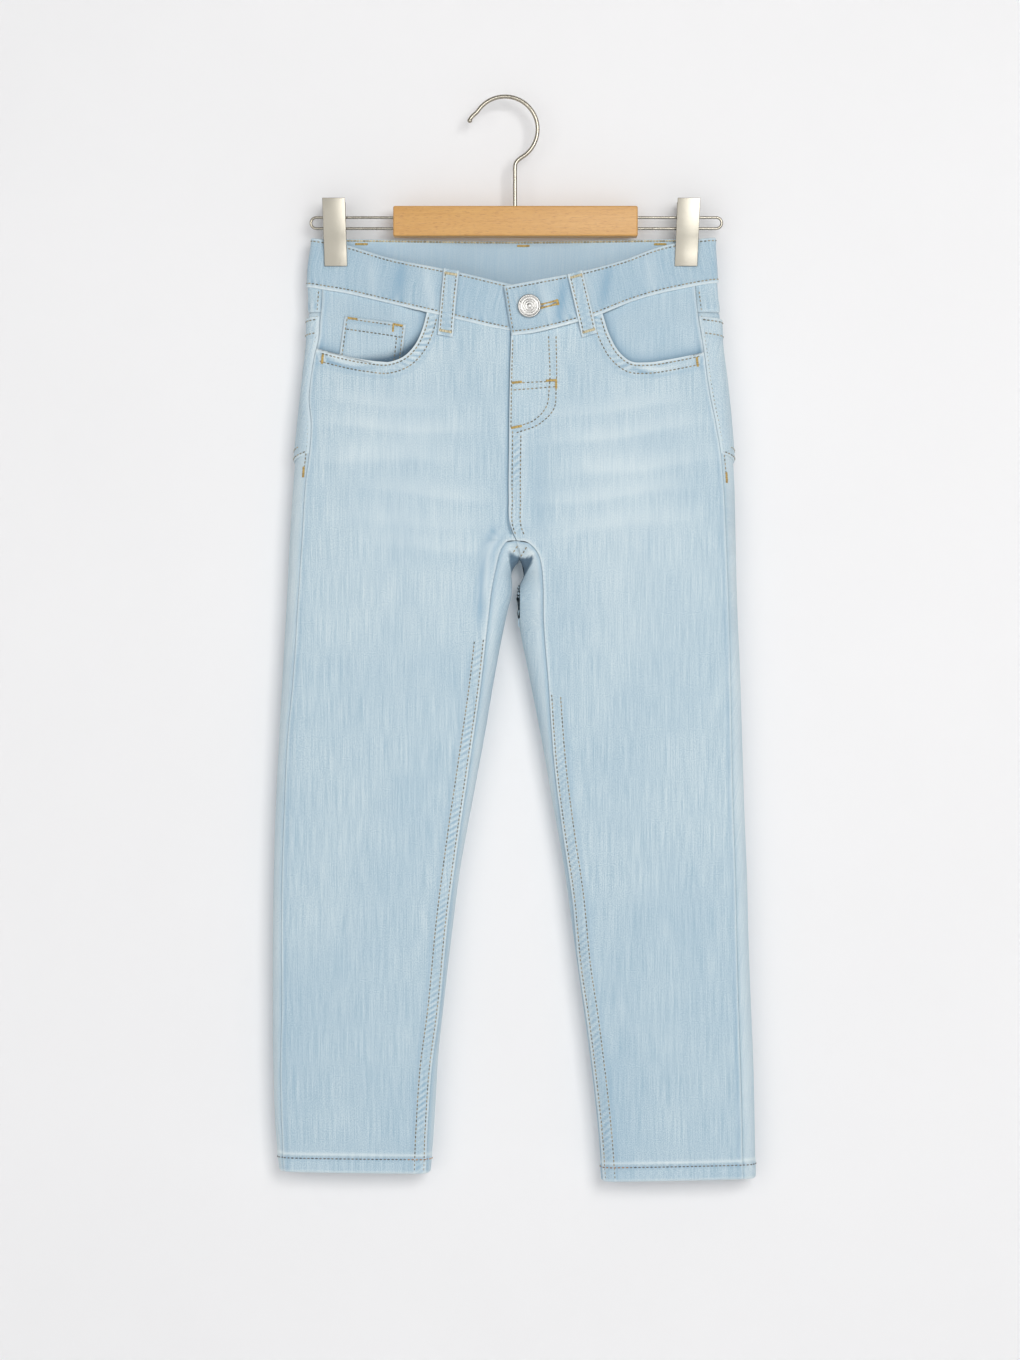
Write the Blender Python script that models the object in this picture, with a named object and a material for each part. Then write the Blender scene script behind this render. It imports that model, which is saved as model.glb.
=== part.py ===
"""Slim fit jeans for a child, hung by the waist from a wooden clip hanger.

The origin is where the hook rests, +Z is up and the jeans' front faces -Y. "Left" and "right" are as
seen from the front. Tables and sizes are in millimetres, and a drop is measured down from the back
waist edge. Every piece of cloth is a wall over one common skin, so its place is a lattice of points
on that skin and its level is how far it lies outside the skin.
"""

import math

import bmesh
import bpy
import numpy as np

MM = 0.001

# Cloth.
CLOTH = 1.2
SEAM_GAP = 0.3
HALF_GAP = SEAM_GAP / 2
BAND_GAP = 0.5
BAND_OUTSIDE = 0.6
BAND_THICKNESS = 2.4
FLAP_RISE = 2.1
UNDERLAP_SINK = 1.4
HEM_HEIGHT = 12.0
HEM_THICKNESS = 2.6
HEM_OUTSIDE = 0.4
LOOP_WIDTH = 11.0
LOOP_THICKNESS = 1.6
PATCH_THICKNESS = 1.1
FACING_THICKNESS = 1.0
FACING_DEPTH = 2.8
FACING_TOP = 0.6
FACING_NEAR = 8.0
FACING_RISE = 16.0
COIN_THICKNESS = 1.0
COIN_GAP = 0.5
SHIELD_WIDTH = 34.0
SHIELD_THICKNESS = 1.2

# A turn of one radian takes as many rows of points as this much flat cloth.
TURN_WEIGHT = 22.0

# The waistband turns over this much of its width at each side.
BAND_TURN = 15.0

# Heights.
WAIST_Z = -100.8
BAND_HEIGHT = 36.0
APEX_X = 3.6
APEX_DROP = 234.9
CROSS_DROP = 220.4
YOKE_SIDE_DROP = 54.3
YOKE_CENTRE_DROP = 80.3
HIP_STATIONS = (97.0, 114.0, 131.0, 148.0, 165.0)
CROTCH_SIDE = 212.0
CROTCH_END = 277.7
LEG_ROWS = 15
TOP_ROWS = 5
FLY_END_DROP = 140.0
# Where the rows from the centre front to the pocket's edge end, and where the seat starts to curve.
FRONT_TURN_DROP = 118.0
SEAT_DROP = 196.0
# Seam lines run on past every hem, and are read as this many points.
PAST_THE_HEM = 690.0
SEAM_POINTS = 200

# Button.
BUTTON_X = 10.2
BUTTON_DROP = 51.2
BUTTON_RADIUS = 8.5
BUTTON_HEIGHT = 3.0
SHANK_RADIUS = 1.9
BUTTONHOLE_RADIUS = 2.5

# Hanger.
HOOK_CENTRE_X = -7.3
HOOK_CENTRE_Z = -21.1
HOOK_RADIUS = 23.8
HOOK_WIRE = 1.55
BAR_LEFT = -88.5
BAR_RIGHT = 89.2
BAR_TOP = -77.6
BAR_BOTTOM = -99.6
BAR_DEPTH = 12.0
WIRE_RADIUS = 1.0
WIRE_UPPER_Z = -85.4
WIRE_LOWER_Z = -93.4
WIRE_REACH_LEFT = -149.6
WIRE_REACH_RIGHT = 151.5
CLIP_WIDTH = 16.5
CLIP_TOP = -72.6
CLIP_BOTTOM = -121.5
CLIP_PLATE = 0.9
CLIP_JAW_Y = 4.7
CLIP_TOP_Y = 10.0
CLIP_FLANGE = 3.4
CLIPS = {"left": (-131.5, -130.1), "right": (126.1, 124.2)}


def table(columns, *rows):
    """A table with named columns, one row for each height or place."""
    return {name: np.array(values, float) for name, values in zip(columns.split(), zip(*rows))}


# The silhouette of the jeans, from the front.
OUTLINE = table(
    "drop left right",
    (-2, -147.8, 145.6),
    (8, -148.6, 145.8),
    (17, -150.0, 146.5),
    (34, -150.8, 147.4),
    (57, -150.2, 149.0),
    (79, -150.9, 150.2),
    (100, -153.3, 153.0),
    (137, -157.3, 156.7),
    (176, -161.0, 159.5),
    (220, -163.9, 160.6),
    (263, -166.0, 161.6),
    (321, -169.3, 164.0),
    (367, -171.8, 165.4),
    (412, -174.0, 166.8),
    (459, -175.5, 168.7),
    (510, -176.2, 170.0),
    (560, -176.2, 171.8),
    (604, -175.8, 173.6),
    (655, -173.6, 174.6),
    (686, -170.0, 175.0),
)

# The edges of the gap between the legs, from its top down.
LEG_GAP = table(
    "drop left right",
    (235, 3.4, 3.8),
    (239, -0.4, 6.2),
    (243, -2.2, 7.0),
    (251, -2.0, 3.9),
    (260, -2.5, 1.3),
    (270, -5.1, 1.5),
    (278, -6.9, 2.6),
    (321, -15.2, 10.9),
    (364, -22.5, 19.3),
    (407, -30.5, 26.8),
    (459, -39.9, 36.0),
    (504, -45.7, 42.1),
    (560, -52.2, 49.8),
    (594, -55.8, 54.4),
    (624, -57.6, 58.0),
    (655, -59.5, 61.1),
    (686, -62.6, 63.1),
)

# Half the depth of the flattened cloth next to its round edges, the fullness in the middle of the body
# and of each leg, how sharply the body's fullness falls off, and how far in the edges are round.
DEPTH = table(
    "drop edge body_crown leg_crown sharpness rounding",
    (-5, 2.5, 10.0, 0.0, 2.6, 4.5),
    (36, 3.4, 10.5, 0.0, 2.3, 6.0),
    (80, 6.5, 8.0, 0.0, 1.6, 9.5),
    (130, 9.5, 5.0, 1.0, 1.1, 13.0),
    (180, 11.0, 2.5, 2.4, 1.0, 14.5),
    (235, 11.4, 0.0, 3.4, 1.0, 15.0),
    (321, 11.2, 0.0, 3.2, 1.0, 15.0),
    (459, 10.2, 0.0, 2.6, 1.0, 14.0),
    (604, 9.4, 0.0, 2.0, 1.0, 12.5),
    (690, 8.8, 0.0, 1.6, 1.0, 11.5),
)

# The side seams, which show on the front.
OUTSEAM = table(
    "drop left right",
    (30, -140.4, 130.6),
    (46, -140.4, 132.0),
    (59, -141.6, 133.4),
    (73, -142.4, 135.6),
    (84, -145.0, 137.2),
    (102, -148.2, 139.4),
    (118, -149.4, 141.9),
    (134, -147.8, 145.2),
    (158, -149.1, 149.2),
    (176, -151.5, 150.8),
    (220, -154.4, 153.0),
    (263, -157.2, 154.6),
    (321, -161.0, 156.2),
    (367, -165.2, 157.0),
    (412, -167.3, 158.0),
    (459, -168.9, 159.6),
    (520, -169.4, 161.0),
    (560, -169.2, 162.1),
    (604, -170.2, 163.5),
    (655, -168.9, 164.8),
    (690, -167.2, 165.5),
)

# The centre front from the waistband to the crotch.
CENTRE_FRONT = table(
    "drop x",
    (60, -1.4),
    (107, -2.8),
    (151, -3.4),
    (190, -3.6),
    (212, -2.6),
    (220.4, 1.0),
)

# The seat seam from the waist down the back to the top of the gap.
SEAT_SEAM = table("drop x", (30, 5.6), (120, 4.4), (200, 3.4), (234.9, 3.6))

# The inside leg seams from the crotch, where all four panels meet, to the hems.
INSEAM_LEFT = table(
    "x drop",
    (1.0, 220.4),
    (-5.5, 220.9),
    (-9.2, 225.0),
    (-11.6, 231.0),
    (-13.4, 239.0),
    (-16.1, 251.6),
    (-19.4, 277.7),
    (-24.4, 321.2),
    (-34.2, 390.0),
    (-41.0, 436.0),
    (-48.9, 496.6),
    (-55.1, 560.4),
    (-60.7, 604.0),
    (-63.4, 644.0),
    (-65.6, 700.0),
)
INSEAM_RIGHT = table(
    "x drop",
    (1.0, 220.4),
    (8.0, 221.2),
    (13.6, 225.4),
    (17.2, 231.0),
    (19.0, 238.0),
    (20.2, 251.6),
    (20.6, 277.7),
    (23.9, 321.2),
    (29.4, 390.0),
    (34.6, 430.0),
    (41.2, 475.0),
    (47.5, 535.0),
    (51.4, 560.4),
    (57.0, 604.0),
    (61.4, 644.0),
    (65.6, 700.0),
)

# The waistband's two edges, from the flap's end round the right side, and from the left side to the
# button end, which lies under the flap.
BAND_FRONT_RIGHT = table(
    "top_x top_drop bottom_x bottom_drop",
    (-8.4, 36.6, -2.6, 72.4),
    (14.0, 32.4, 17.5, 69.6),
    (43.0, 26.4, 53.6, 59.6),
    (76.5, 17.2, 84.0, 47.2),
    (104.0, 6.8, 108.0, 40.0),
    (131.0, 0.6, 133.0, 34.6),
)
BAND_FRONT_LEFT = table(
    "top_x top_drop bottom_x bottom_drop",
    (-134.0, 1.8, -136.0, 38.2),
    (-118.0, 6.2, -120.0, 41.0),
    (-88.5, 15.4, -93.0, 47.6),
    (-45.7, 24.6, -50.3, 58.2),
    (-12.0, 32.6, -10.0, 67.6),
    (4.0, 35.4, 6.0, 69.2),
    (22.0, 33.6, 26.0, 66.0),
)
BAND_CORNERS = {"left": (-0.4, 35.6), "right": (-0.7, 32.4)}

# The curved edges of the front pockets, from the waistband to the side seam.
POCKET_EDGE_LEFT = table(
    "x drop",
    (-63.9, 54.8),
    (-67.6, 68.5),
    (-73.2, 79.8),
    (-80.8, 87.3),
    (-90.8, 91.0),
    (-106.9, 89.8),
    (-125.7, 86.0),
    (-145.2, 80.6),
)
POCKET_EDGE_RIGHT = table(
    "x drop",
    (63.4, 55.6),
    (68.9, 72.3),
    (76.5, 84.8),
    (84.0, 90.4),
    (95.0, 91.2),
    (113.8, 88.5),
    (126.0, 86.0),
    (137.3, 83.4),
)

# Where each belt loop starts and ends: the middle of its top and of its lower end.
LOOPS = {
    "belt_loop_front_left": (-45.8, 23.6, -50.4, 72.4, -1),
    "belt_loop_front_right": (43.0, 25.6, 53.9, 72.0, -1),
    "belt_loop_back_left": (-112.0, -0.8, -112.0, 50.0, 1),
    "belt_loop_back_centre": (6.2, -0.8, 5.4, 50.0, 1),
    "belt_loop_back_right": (106.0, -0.8, 106.0, 50.0, 1),
}

# How far the two front loops' ends slant, as their waistband does.
LOOP_TILT = {"belt_loop_front_left": 0.18, "belt_loop_front_right": -0.3}

# The two ends of each leg's lower edge.
HEM_ENDS = {
    "left": table("x drop", (-171, 677.9), (-60, 679.4)),
    "right": table("x drop", (62, 685.4), (176, 683.0)),
}

# Coin pocket corners, and the back pockets measured round the side from the silhouette.
COIN_POCKET = table("x drop", (-123.2, 57.2), (-79.4, 63.4), (-83.6, 85.2), (-126.6, 82.8))
BACK_POCKET = {"outer": -5.0, "inner": 107.0, "taper": 7.0, "top_outer": 57.0, "top_inner": 74.0}
BACK_POCKET_SIDE = 100.0
BACK_POCKET_POINT = 112.0

# The largest folds: where the middle of each is, its half length and half width, how far its lower
# end leans to the right, its height, and whether it is on the front (-1) or the back (1).
FOLDS = table(
    "x drop length width lean height face",
    (36, 150, 70, 9, -10, 0.9, -1),
    (68, 125, 45, 10, -16, -0.9, -1),
    (-120, 185, 70, 12, 8, 0.8, -1),
    (-60, 150, 60, 14, 10, -0.7, -1),
    (118, 180, 75, 12, -8, 0.8, -1),
    (-90, 420, 130, 16, -14, 0.8, -1),
    (95, 470, 130, 16, 14, 0.8, -1),
    (-70, 150, 60, 13, 14, 0.9, 1),
    (75, 160, 65, 13, -14, 0.9, 1),
    (-95, 240, 60, 14, 20, -1.0, 1),
    (90, 245, 60, 14, -20, -1.0, 1),
    (-110, 470, 130, 16, 12, 0.9, 1),
    (110, 440, 130, 16, -12, 0.9, 1),
)

DENIM = ((0.53, 0.66, 0.73, 1.0), 0.85, 0.0)
STEEL = ((0.72, 0.71, 0.68, 1.0), 0.32, 1.0)
BEECH = ((0.78, 0.52, 0.29, 1.0), 0.5, 0.0)
SIDES = {"left": -1, "right": 1}


def smooth(rows, column, at, along="drop"):
    """Reads a table's column between its rows, with a smooth slope at each row."""
    places, values = rows[along], rows[column]
    slopes = np.gradient(values, places)
    at = np.clip(np.asarray(at, float), places[0], places[-1])
    low = np.clip(np.searchsorted(places, at, side="right") - 1, 0, len(places) - 2)
    step = places[low + 1] - places[low]
    t = (at - places[low]) / step
    start = values[low] * (1 + 2 * t) + step * slopes[low] * t
    end = values[low + 1] * (3 - 2 * t) - step * slopes[low + 1] * (1 - t)
    return start * (1 - t) ** 2 + end * t**2


def ease(value):
    """A smooth step from 0 to 1."""
    value = np.clip(value, 0.0, 1.0)
    return value * value * (3 - 2 * value)


def edge_x(side, drop):
    return smooth(OUTLINE, side, drop)


def quarter_round(inset, rounding):
    """The square of a round edge's height, 0 at the edge and 1 from its rounding on."""
    share = np.minimum(inset / rounding, 1.0)
    return share * (2 - share)


def gap_inset(x, drop):
    """How far a place is from the gap between the legs."""
    below = np.where(
        x < APEX_X, smooth(LEG_GAP, "left", drop) - x, x - smooth(LEG_GAP, "right", drop)
    )
    above = np.hypot(x - APEX_X, APEX_DROP - drop)
    return np.where(drop > APEX_DROP, below, above)


def depth_squared(x, drop):
    """The square of the skin's distance from the middle plane; it falls below 0 outside the outline."""
    left, right = edge_x("left", drop), edge_x("right", drop)
    body = np.clip((2 * x - left - right) / (right - left), -1, 1)
    on_left = x < APEX_X
    outer = np.where(on_left, left, right)
    inner = np.where(on_left, smooth(LEG_GAP, "left", drop), smooth(LEG_GAP, "right", drop))
    leg = np.clip((2 * x - outer - inner) / np.abs(outer - inner), -1, 1)
    crown = smooth(DEPTH, "body_crown", drop) * (1 - body**2) ** smooth(DEPTH, "sharpness", drop)
    crown = crown + smooth(DEPTH, "leg_crown", drop) * (1 - leg**2)
    half = smooth(DEPTH, "edge", drop) + crown
    rounding = smooth(DEPTH, "rounding", drop)
    outside = quarter_round(np.minimum(x - left, right - x), rounding)
    between = quarter_round(gap_inset(x, drop), smooth(DEPTH, "rounding", drop))
    return half**2 * outside * np.where(outside < 0, 1, between)


def fold_height(x, drop, face):
    """The folds' height above the plain skin."""
    height = np.zeros(np.broadcast(x, drop, face).shape)
    for fold in zip(*FOLDS.values()):
        place, level, length, width, lean, rise, on_face = fold
        along = (drop - level) / length
        across = (x - place - lean * along) / width
        fade = np.where(np.abs(along) < 1, np.cos(along * math.pi / 2) ** 2, 0)
        height = height + np.where(face == on_face, rise * fade * np.exp(-(across**2)), 0)
    return height


def skin(x, drop, face, level):
    """Points level outside the skin, at these places of the front (face -1) or the back (face 1)."""
    x, drop, face, level = np.broadcast_arrays(x, drop, face, level)
    step = 0.05
    depth = np.sqrt(np.maximum(depth_squared(x, drop), 0))
    normal = np.stack(
        [
            -(depth_squared(x + step, drop) - depth_squared(x - step, drop)) / (2 * step),
            2 * face * depth,
            (depth_squared(x, drop + step) - depth_squared(x, drop - step)) / (2 * step),
        ],
        axis=-1,
    )
    normal /= np.linalg.norm(normal, axis=-1, keepdims=True)
    place = np.stack([x, face * depth, WAIST_Z - drop], axis=-1)
    fullness = ease((depth - 3.0) / 5.0)
    return place + normal * (level + fullness * fold_height(x, drop, face))[..., None]


def points_of(rows):
    return np.stack([rows["x"], rows["drop"]], axis=-1)


def spaced(points, count):
    """Points at equal distances along a line of points."""
    lengths = np.linalg.norm(np.diff(points, axis=0), axis=1)
    along = np.concatenate([[0], np.cumsum(lengths)])
    at = np.linspace(0, along[-1], count)
    return np.stack([np.interp(at, along, column) for column in points.T], axis=-1)


def rounded(points, count=80):
    """A smooth curve through a short list of points."""
    lengths = np.linalg.norm(np.diff(points, axis=0), axis=1)
    rows = {"along": np.concatenate([[0], np.cumsum(lengths)])}
    rows["x"], rows["drop"] = points.T
    at = np.linspace(0, rows["along"][-1], count)
    return np.stack([smooth(rows, name, at, "along") for name in ("x", "drop")], axis=-1)


def moved_aside(points, distance):
    """The line moved to its left by distance, with its corners kept."""
    along = np.diff(points, axis=0)
    along /= np.linalg.norm(along, axis=1, keepdims=True)
    across = np.stack([along[:, 1], -along[:, 0]], axis=-1)
    first = np.vstack([across[:1], across])
    second = np.vstack([across, across[-1:]])
    bend = 1 + np.sum(first * second, axis=1, keepdims=True)
    return points + distance * (first + second) / np.maximum(bend, 0.3)


def between_drops(points, top, bottom):
    """The stretch of a line that goes down from one drop to another."""
    inside = points[(points[:, 1] > top) & (points[:, 1] < bottom)]
    ends = [[np.interp(drop, points[:, 1], points[:, 0]), drop] for drop in (top, bottom)]
    return np.vstack([ends[0], inside, ends[1]])


def seam_line(rows, column, top, bottom, count=60):
    drop = np.linspace(top, bottom, count)
    return np.stack([smooth(rows, column, drop), drop], axis=-1)


def at_drops(points, drops):
    """The places of a line at these drops."""
    return np.stack([np.interp(drops, points[:, 1], points[:, 0]), drops], axis=-1)


def stacked(bands):
    """The ends of a panel's rows, from bands that each hold an inner line and its outer ends."""
    inner, outer = [], []
    for number, (inner_line, outer_ends) in enumerate(bands):
        skip = 1 if number else 0
        inner.append(spaced(inner_line, len(outer_ends))[skip:])
        outer.append(outer_ends[skip:])
    return np.vstack(inner), np.vstack(outer)


def leg_bands(side, inseam, outseam):
    """The bands below the crotch, down to the hem; the last two rows are the turned-up hem."""
    hem_inner = hem_drop(side, inseam[-1, 0])
    hem_outer = hem_drop(side, outseam[-1, 0])
    inner_stops = (CROTCH_END, hem_inner - HEM_HEIGHT, hem_inner - HEM_HEIGHT + SEAM_GAP, hem_inner)
    outer_stops = (CROTCH_END, hem_outer - HEM_HEIGHT, hem_outer - HEM_HEIGHT + SEAM_GAP, hem_outer)
    bands = []
    for number, rows in enumerate((LEG_ROWS, 1, 1)):
        inner = between_drops(inseam, inner_stops[number], inner_stops[number + 1])
        outer = between_drops(outseam, outer_stops[number], outer_stops[number + 1])
        bands.append((inner, spaced(outer, rows + 1)))
    return bands


def hem_thickness(rows, shape):
    """The level and thickness of a panel's wall, with its hem thicker."""
    in_hem = (np.arange(rows) >= rows - 2)[:, None] & np.ones(shape, bool)
    return np.where(in_hem, HEM_OUTSIDE, 0.0), np.where(in_hem, HEM_THICKNESS, CLOTH)


def hem_drop(side, x):
    """The lower edge of a leg."""
    ends = HEM_ENDS[side]
    return np.interp(x, ends["x"], ends["drop"])


def wall(name, lattice, level, thickness, look):
    """A piece of cloth over the skin: lattice holds x, drop and face, and its wall goes inwards."""
    x, drop, face = lattice
    shape = x.shape
    outside = skin(x, drop, face, level) * MM
    inside = skin(x, drop, face, level - thickness) * MM
    return sheet_between(name, outside, inside, shape, look)


def sheet_between(name, outside, inside, shape, look):
    """One closed wall from two grids of points, made from a grid that is thickened by extrusion."""
    bm = bmesh.new()
    row_layer = bm.verts.layers.int.new("row")
    column_layer = bm.verts.layers.int.new("column")
    rows, columns = shape[0] - 1, shape[1] - 1
    bmesh.ops.create_grid(bm, x_segments=columns, y_segments=rows, size=0.5)
    for vert in bm.verts:
        vert[row_layer] = round((vert.co.y + 0.5) * rows)
        vert[column_layer] = round((vert.co.x + 0.5) * columns)
    grown = bmesh.ops.extrude_face_region(bm, geom=bm.faces[:])["geom"]
    inner = {item for item in grown if isinstance(item, bmesh.types.BMVert)}
    for vert in bm.verts:
        source = inside if vert in inner else outside
        vert.co = source[vert[row_layer], vert[column_layer]]
    bmesh.ops.triangulate(bm, faces=bm.faces[:])
    return finished(name, bm, look)


def finished(name, bm, look):
    """Makes the mesh an object with its own material, its faces pointing out."""
    bmesh.ops.recalc_face_normals(bm, faces=bm.faces[:])
    if bm.calc_volume(signed=True) < 0:
        bmesh.ops.reverse_faces(bm, faces=bm.faces[:])
    mesh = bpy.data.meshes.new(name)
    bm.to_mesh(mesh)
    bm.free()
    mesh.shade_smooth()
    mesh.set_sharp_from_angle(angle=math.radians(40))
    obj = bpy.data.objects.new(name, mesh)
    bpy.context.scene.collection.objects.link(obj)
    obj.data.materials.append(material(name, look))
    return obj


def material(name, look):
    colour, roughness, metallic = look
    made = bpy.data.materials.new(name)
    made.use_nodes = True
    shader = made.node_tree.nodes["Principled BSDF"]
    shader.inputs["Base Color"].default_value = colour
    shader.inputs["Roughness"].default_value = roughness
    shader.inputs["Metallic"].default_value = metallic
    return made


def ring_stations(rows, count):
    """The waistband's edges at equal steps of its table's rows."""
    rows = dict(rows, station=np.arange(len(rows["top_x"]), dtype=float))
    at = np.linspace(0, rows["station"][-1], count)
    names = ("top_x", "top_drop", "bottom_x", "bottom_drop")
    return np.stack([smooth(rows, name, at, "station") for name in names], axis=-1)


def corner_stations(side, start, count):
    """From a front station to the silhouette: closer and closer together as the band turns."""
    sign = SIDES[side]
    top, bottom = BAND_CORNERS[side]
    share = (1 - np.arange(1, count + 1) / count) ** 2
    rows = []
    for near in share:
        top_drop = top + (start[1] - top) * near
        bottom_drop = bottom + (start[3] - bottom) * near
        top_inset = sign * (edge_x(side, start[1]) - start[0]) * near
        bottom_inset = sign * (edge_x(side, start[3]) - start[2]) * near
        top_x = edge_x(side, top_drop) - sign * top_inset
        bottom_x = edge_x(side, bottom_drop) - sign * bottom_inset
        rows.append((top_x, top_drop, bottom_x, bottom_drop))
    return np.array(rows)


def band_back(side, start, count):
    """The same turn on the back, from the silhouette to the straight stretch."""
    sign = SIDES[side]
    top, bottom = BAND_CORNERS[side]
    share = (np.arange(1, count + 1) / count) ** 2
    rows = []
    for near in share:
        top_drop = top * (1 - near)
        bottom_drop = bottom + (BAND_HEIGHT - bottom) * near
        inset = start * near
        top_x = edge_x(side, top_drop) - sign * inset
        bottom_x = edge_x(side, bottom_drop) - sign * inset
        rows.append((top_x, top_drop, bottom_x, bottom_drop))
    return np.array(rows)


def band_ring():
    """The waistband's stations all round, with their faces and how far each lies from the skin."""
    right = ring_stations(BAND_FRONT_RIGHT, 16)
    left = ring_stations(BAND_FRONT_LEFT, 18)
    right_turn = corner_stations("right", right[-1], 5)
    left_turn = corner_stations("left", left[0], 5)[::-1]
    back_right = band_back("right", BAND_TURN, 4)
    back_left = band_back("left", BAND_TURN, 4)[::-1]
    middle_x = np.linspace(back_right[-1][0], back_left[0][0], 18)[1:-1]
    lower_x = np.linspace(back_right[-1][2], back_left[0][2], 18)[1:-1]
    flat = np.zeros(len(middle_x))
    middle = np.stack([middle_x, flat, lower_x, flat + BAND_HEIGHT], axis=-1)
    groups = [
        (right, -1),
        (right_turn, -1),
        (back_right, 1),
        (middle, 1),
        (back_left, 1),
        (left_turn, -1),
        (left, -1),
    ]
    ring = np.vstack([rows for rows, _ in groups])
    face = np.concatenate([np.full(len(rows), side) for rows, side in groups])
    lift = np.zeros(len(ring))
    first = slice(0, len(right))
    lift[first] = flap_lift(right[:, 0])
    last = slice(len(ring) - len(left), len(ring))
    lift[last] = -UNDERLAP_SINK * ease((left[:, 0] + 30.0) / 16.0)
    return ring, face, lift


def band_lattice(rows=3):
    ring, face, lift = band_ring()
    share = np.linspace(0, 1, rows)[:, None]
    top_x, top_drop, bottom_x, bottom_drop = (column[None, :] for column in ring.T)
    drop = top_drop + (bottom_drop - top_drop) * share
    x = top_x + (bottom_x - top_x) * share
    bulge = np.zeros_like(x)
    for side, sign in SIDES.items():
        near = np.abs(sign * edge_x(side, drop[0]) - sign * x[0]) < BAND_TURN + 1
        ends = [sign * (edge_x(side, drop[row]) - x[row]) for row in (0, -1)]
        inset = ends[0] + (ends[1] - ends[0]) * share
        bulge = np.where(near[None, :], edge_x(side, drop) - sign * inset - x, bulge)
    return (x + bulge, drop, np.broadcast_to(face, x.shape)), np.broadcast_to(lift, x.shape)


def band_lower_edge(side, x, face):
    """The drop of the waistband's lower edge, above one half of the front or the back."""
    if face > 0:
        corner = BAND_CORNERS[side][1]
        inset = np.abs(edge_x(side, corner) - x)
        return corner + (BAND_HEIGHT - corner) * np.minimum(inset / BAND_TURN, 1)
    if side == "right":
        stations = ring_stations(BAND_FRONT_RIGHT, 16)
        stations = np.vstack([stations, corner_stations("right", stations[-1], 5)])
    else:
        stations = ring_stations(BAND_FRONT_LEFT, 18)
        stations = np.vstack([corner_stations("left", stations[0], 5)[::-1], stations])
    return np.interp(x, stations[:, 2], stations[:, 3])


def pocket_edge(side):
    rows = {"left": POCKET_EDGE_LEFT, "right": POCKET_EDGE_RIGHT}[side]
    return rounded(points_of(rows))


def front_panel(side):
    """A front, from the centre seam and inside leg seam to the pocket's edge and side seam."""
    sign = SIDES[side]
    inseam = rounded(points_of({"left": INSEAM_LEFT, "right": INSEAM_RIGHT}[side]), 240)
    seam = np.vstack([seam_line(CENTRE_FRONT, "x", 60, CROSS_DROP)[:-1], inseam])
    seam = moved_aside(seam, sign * HALF_GAP)
    cross = np.argmax(seam[:, 1] >= CROSS_DROP - HALF_GAP - 0.02)
    pocket = pocket_edge(side)
    pocket[0, 1] = band_lower_edge(side, pocket[0, 0], -1) + BAND_GAP
    outseam = seam_line(OUTSEAM, side, pocket[-1, 1], PAST_THE_HEM, SEAM_POINTS)
    outseam = moved_aside(outseam, -sign * HALF_GAP)
    pocket[-1] = outseam[0]
    top = band_lower_edge(side, seam[0, 0], -1) + BAND_GAP
    upper, lower = seam[: cross + 1], seam[cross:]
    hip_stations = np.concatenate([[pocket[-1, 1]], HIP_STATIONS, [190.0, CROTCH_SIDE]])
    bands = [
        (between_drops(upper, top, FRONT_TURN_DROP), spaced(pocket, TOP_ROWS + 1)),
        (between_drops(upper, FRONT_TURN_DROP, upper[-1, 1]), at_drops(outseam, hip_stations)),
        (
            lower[lower[:, 1] <= CROTCH_END],
            spaced(between_drops(outseam, CROTCH_SIDE, CROTCH_END), 7),
        ),
    ]
    inner, outer = stacked(bands + leg_bands(side, lower, outseam))
    across = np.linspace(0, 1, 12)[None, :]
    x = inner[:, :1] + (outer[:, :1] - inner[:, :1]) * across
    drop = inner[:, 1:] + (outer[:, 1:] - inner[:, 1:]) * across
    edge = band_lower_edge(side, x[0], -1) + BAND_GAP
    edge[-1] = drop[0, -1]
    fade = np.maximum(1 - np.arange(len(x)) / TOP_ROWS, 0)[:, None]
    drop = drop + (edge - drop[0])[None, :] * fade
    level, thickness = hem_thickness(len(x), x.shape)
    return wall(f"front_{side}", (x, drop, -1), level, thickness, DENIM)


def clustered(start, end, at_start, at_end, count=28):
    """Steps from start to end that close up towards a round edge at either end."""
    t = np.linspace(0, 1, count)
    if at_start and at_end:
        t = (1 - np.cos(math.pi * t)) / 2
    elif at_start:
        t = 1 - np.cos(math.pi / 2 * t)
    elif at_end:
        t = np.sin(math.pi / 2 * t)
    return np.asarray(start) + (np.asarray(end) - np.asarray(start)) * t[:, None]


def round_the_back(side, start, end, end_face, crossing, columns):
    """A row of a back: from the side seam round the silhouette, over the back and to its end."""
    tip = (edge_x(side, start[1]), start[1])
    steps = [(clustered(start, tip, False, True), -1)]
    if crossing is None:
        steps.append((clustered(tip, end, True, False), 1))
    else:
        inner_tip = (smooth(LEG_GAP, side, crossing), crossing)
        steps.append((clustered(tip, inner_tip, True, True), 1))
        if end_face < 0:
            steps.append((clustered(inner_tip, end, True, False), -1))
    path = np.vstack([line if number == 0 else line[1:] for number, (line, _) in enumerate(steps)])
    face = np.concatenate([np.full(len(line) - 1, value) for line, value in steps])
    ends = np.concatenate([face[:1], face])
    solid = skin(path[:, 0], path[:, 1], ends, 0.0)
    normals = skin(path[:, 0], path[:, 1], ends, 1.0) - solid
    lengths = np.linalg.norm(np.diff(solid, axis=0), axis=1)
    turns = np.linalg.norm(np.diff(normals, axis=0), axis=1)
    along = np.concatenate([[0], np.cumsum(lengths + TURN_WEIGHT * turns)])
    at = np.linspace(0, along[-1], columns)
    low = np.clip(np.searchsorted(along, at, side="right") - 1, 0, len(face) - 1)
    x, drop = (np.interp(at, along, column) for column in path.T)
    return x, drop, face[low]


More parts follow.
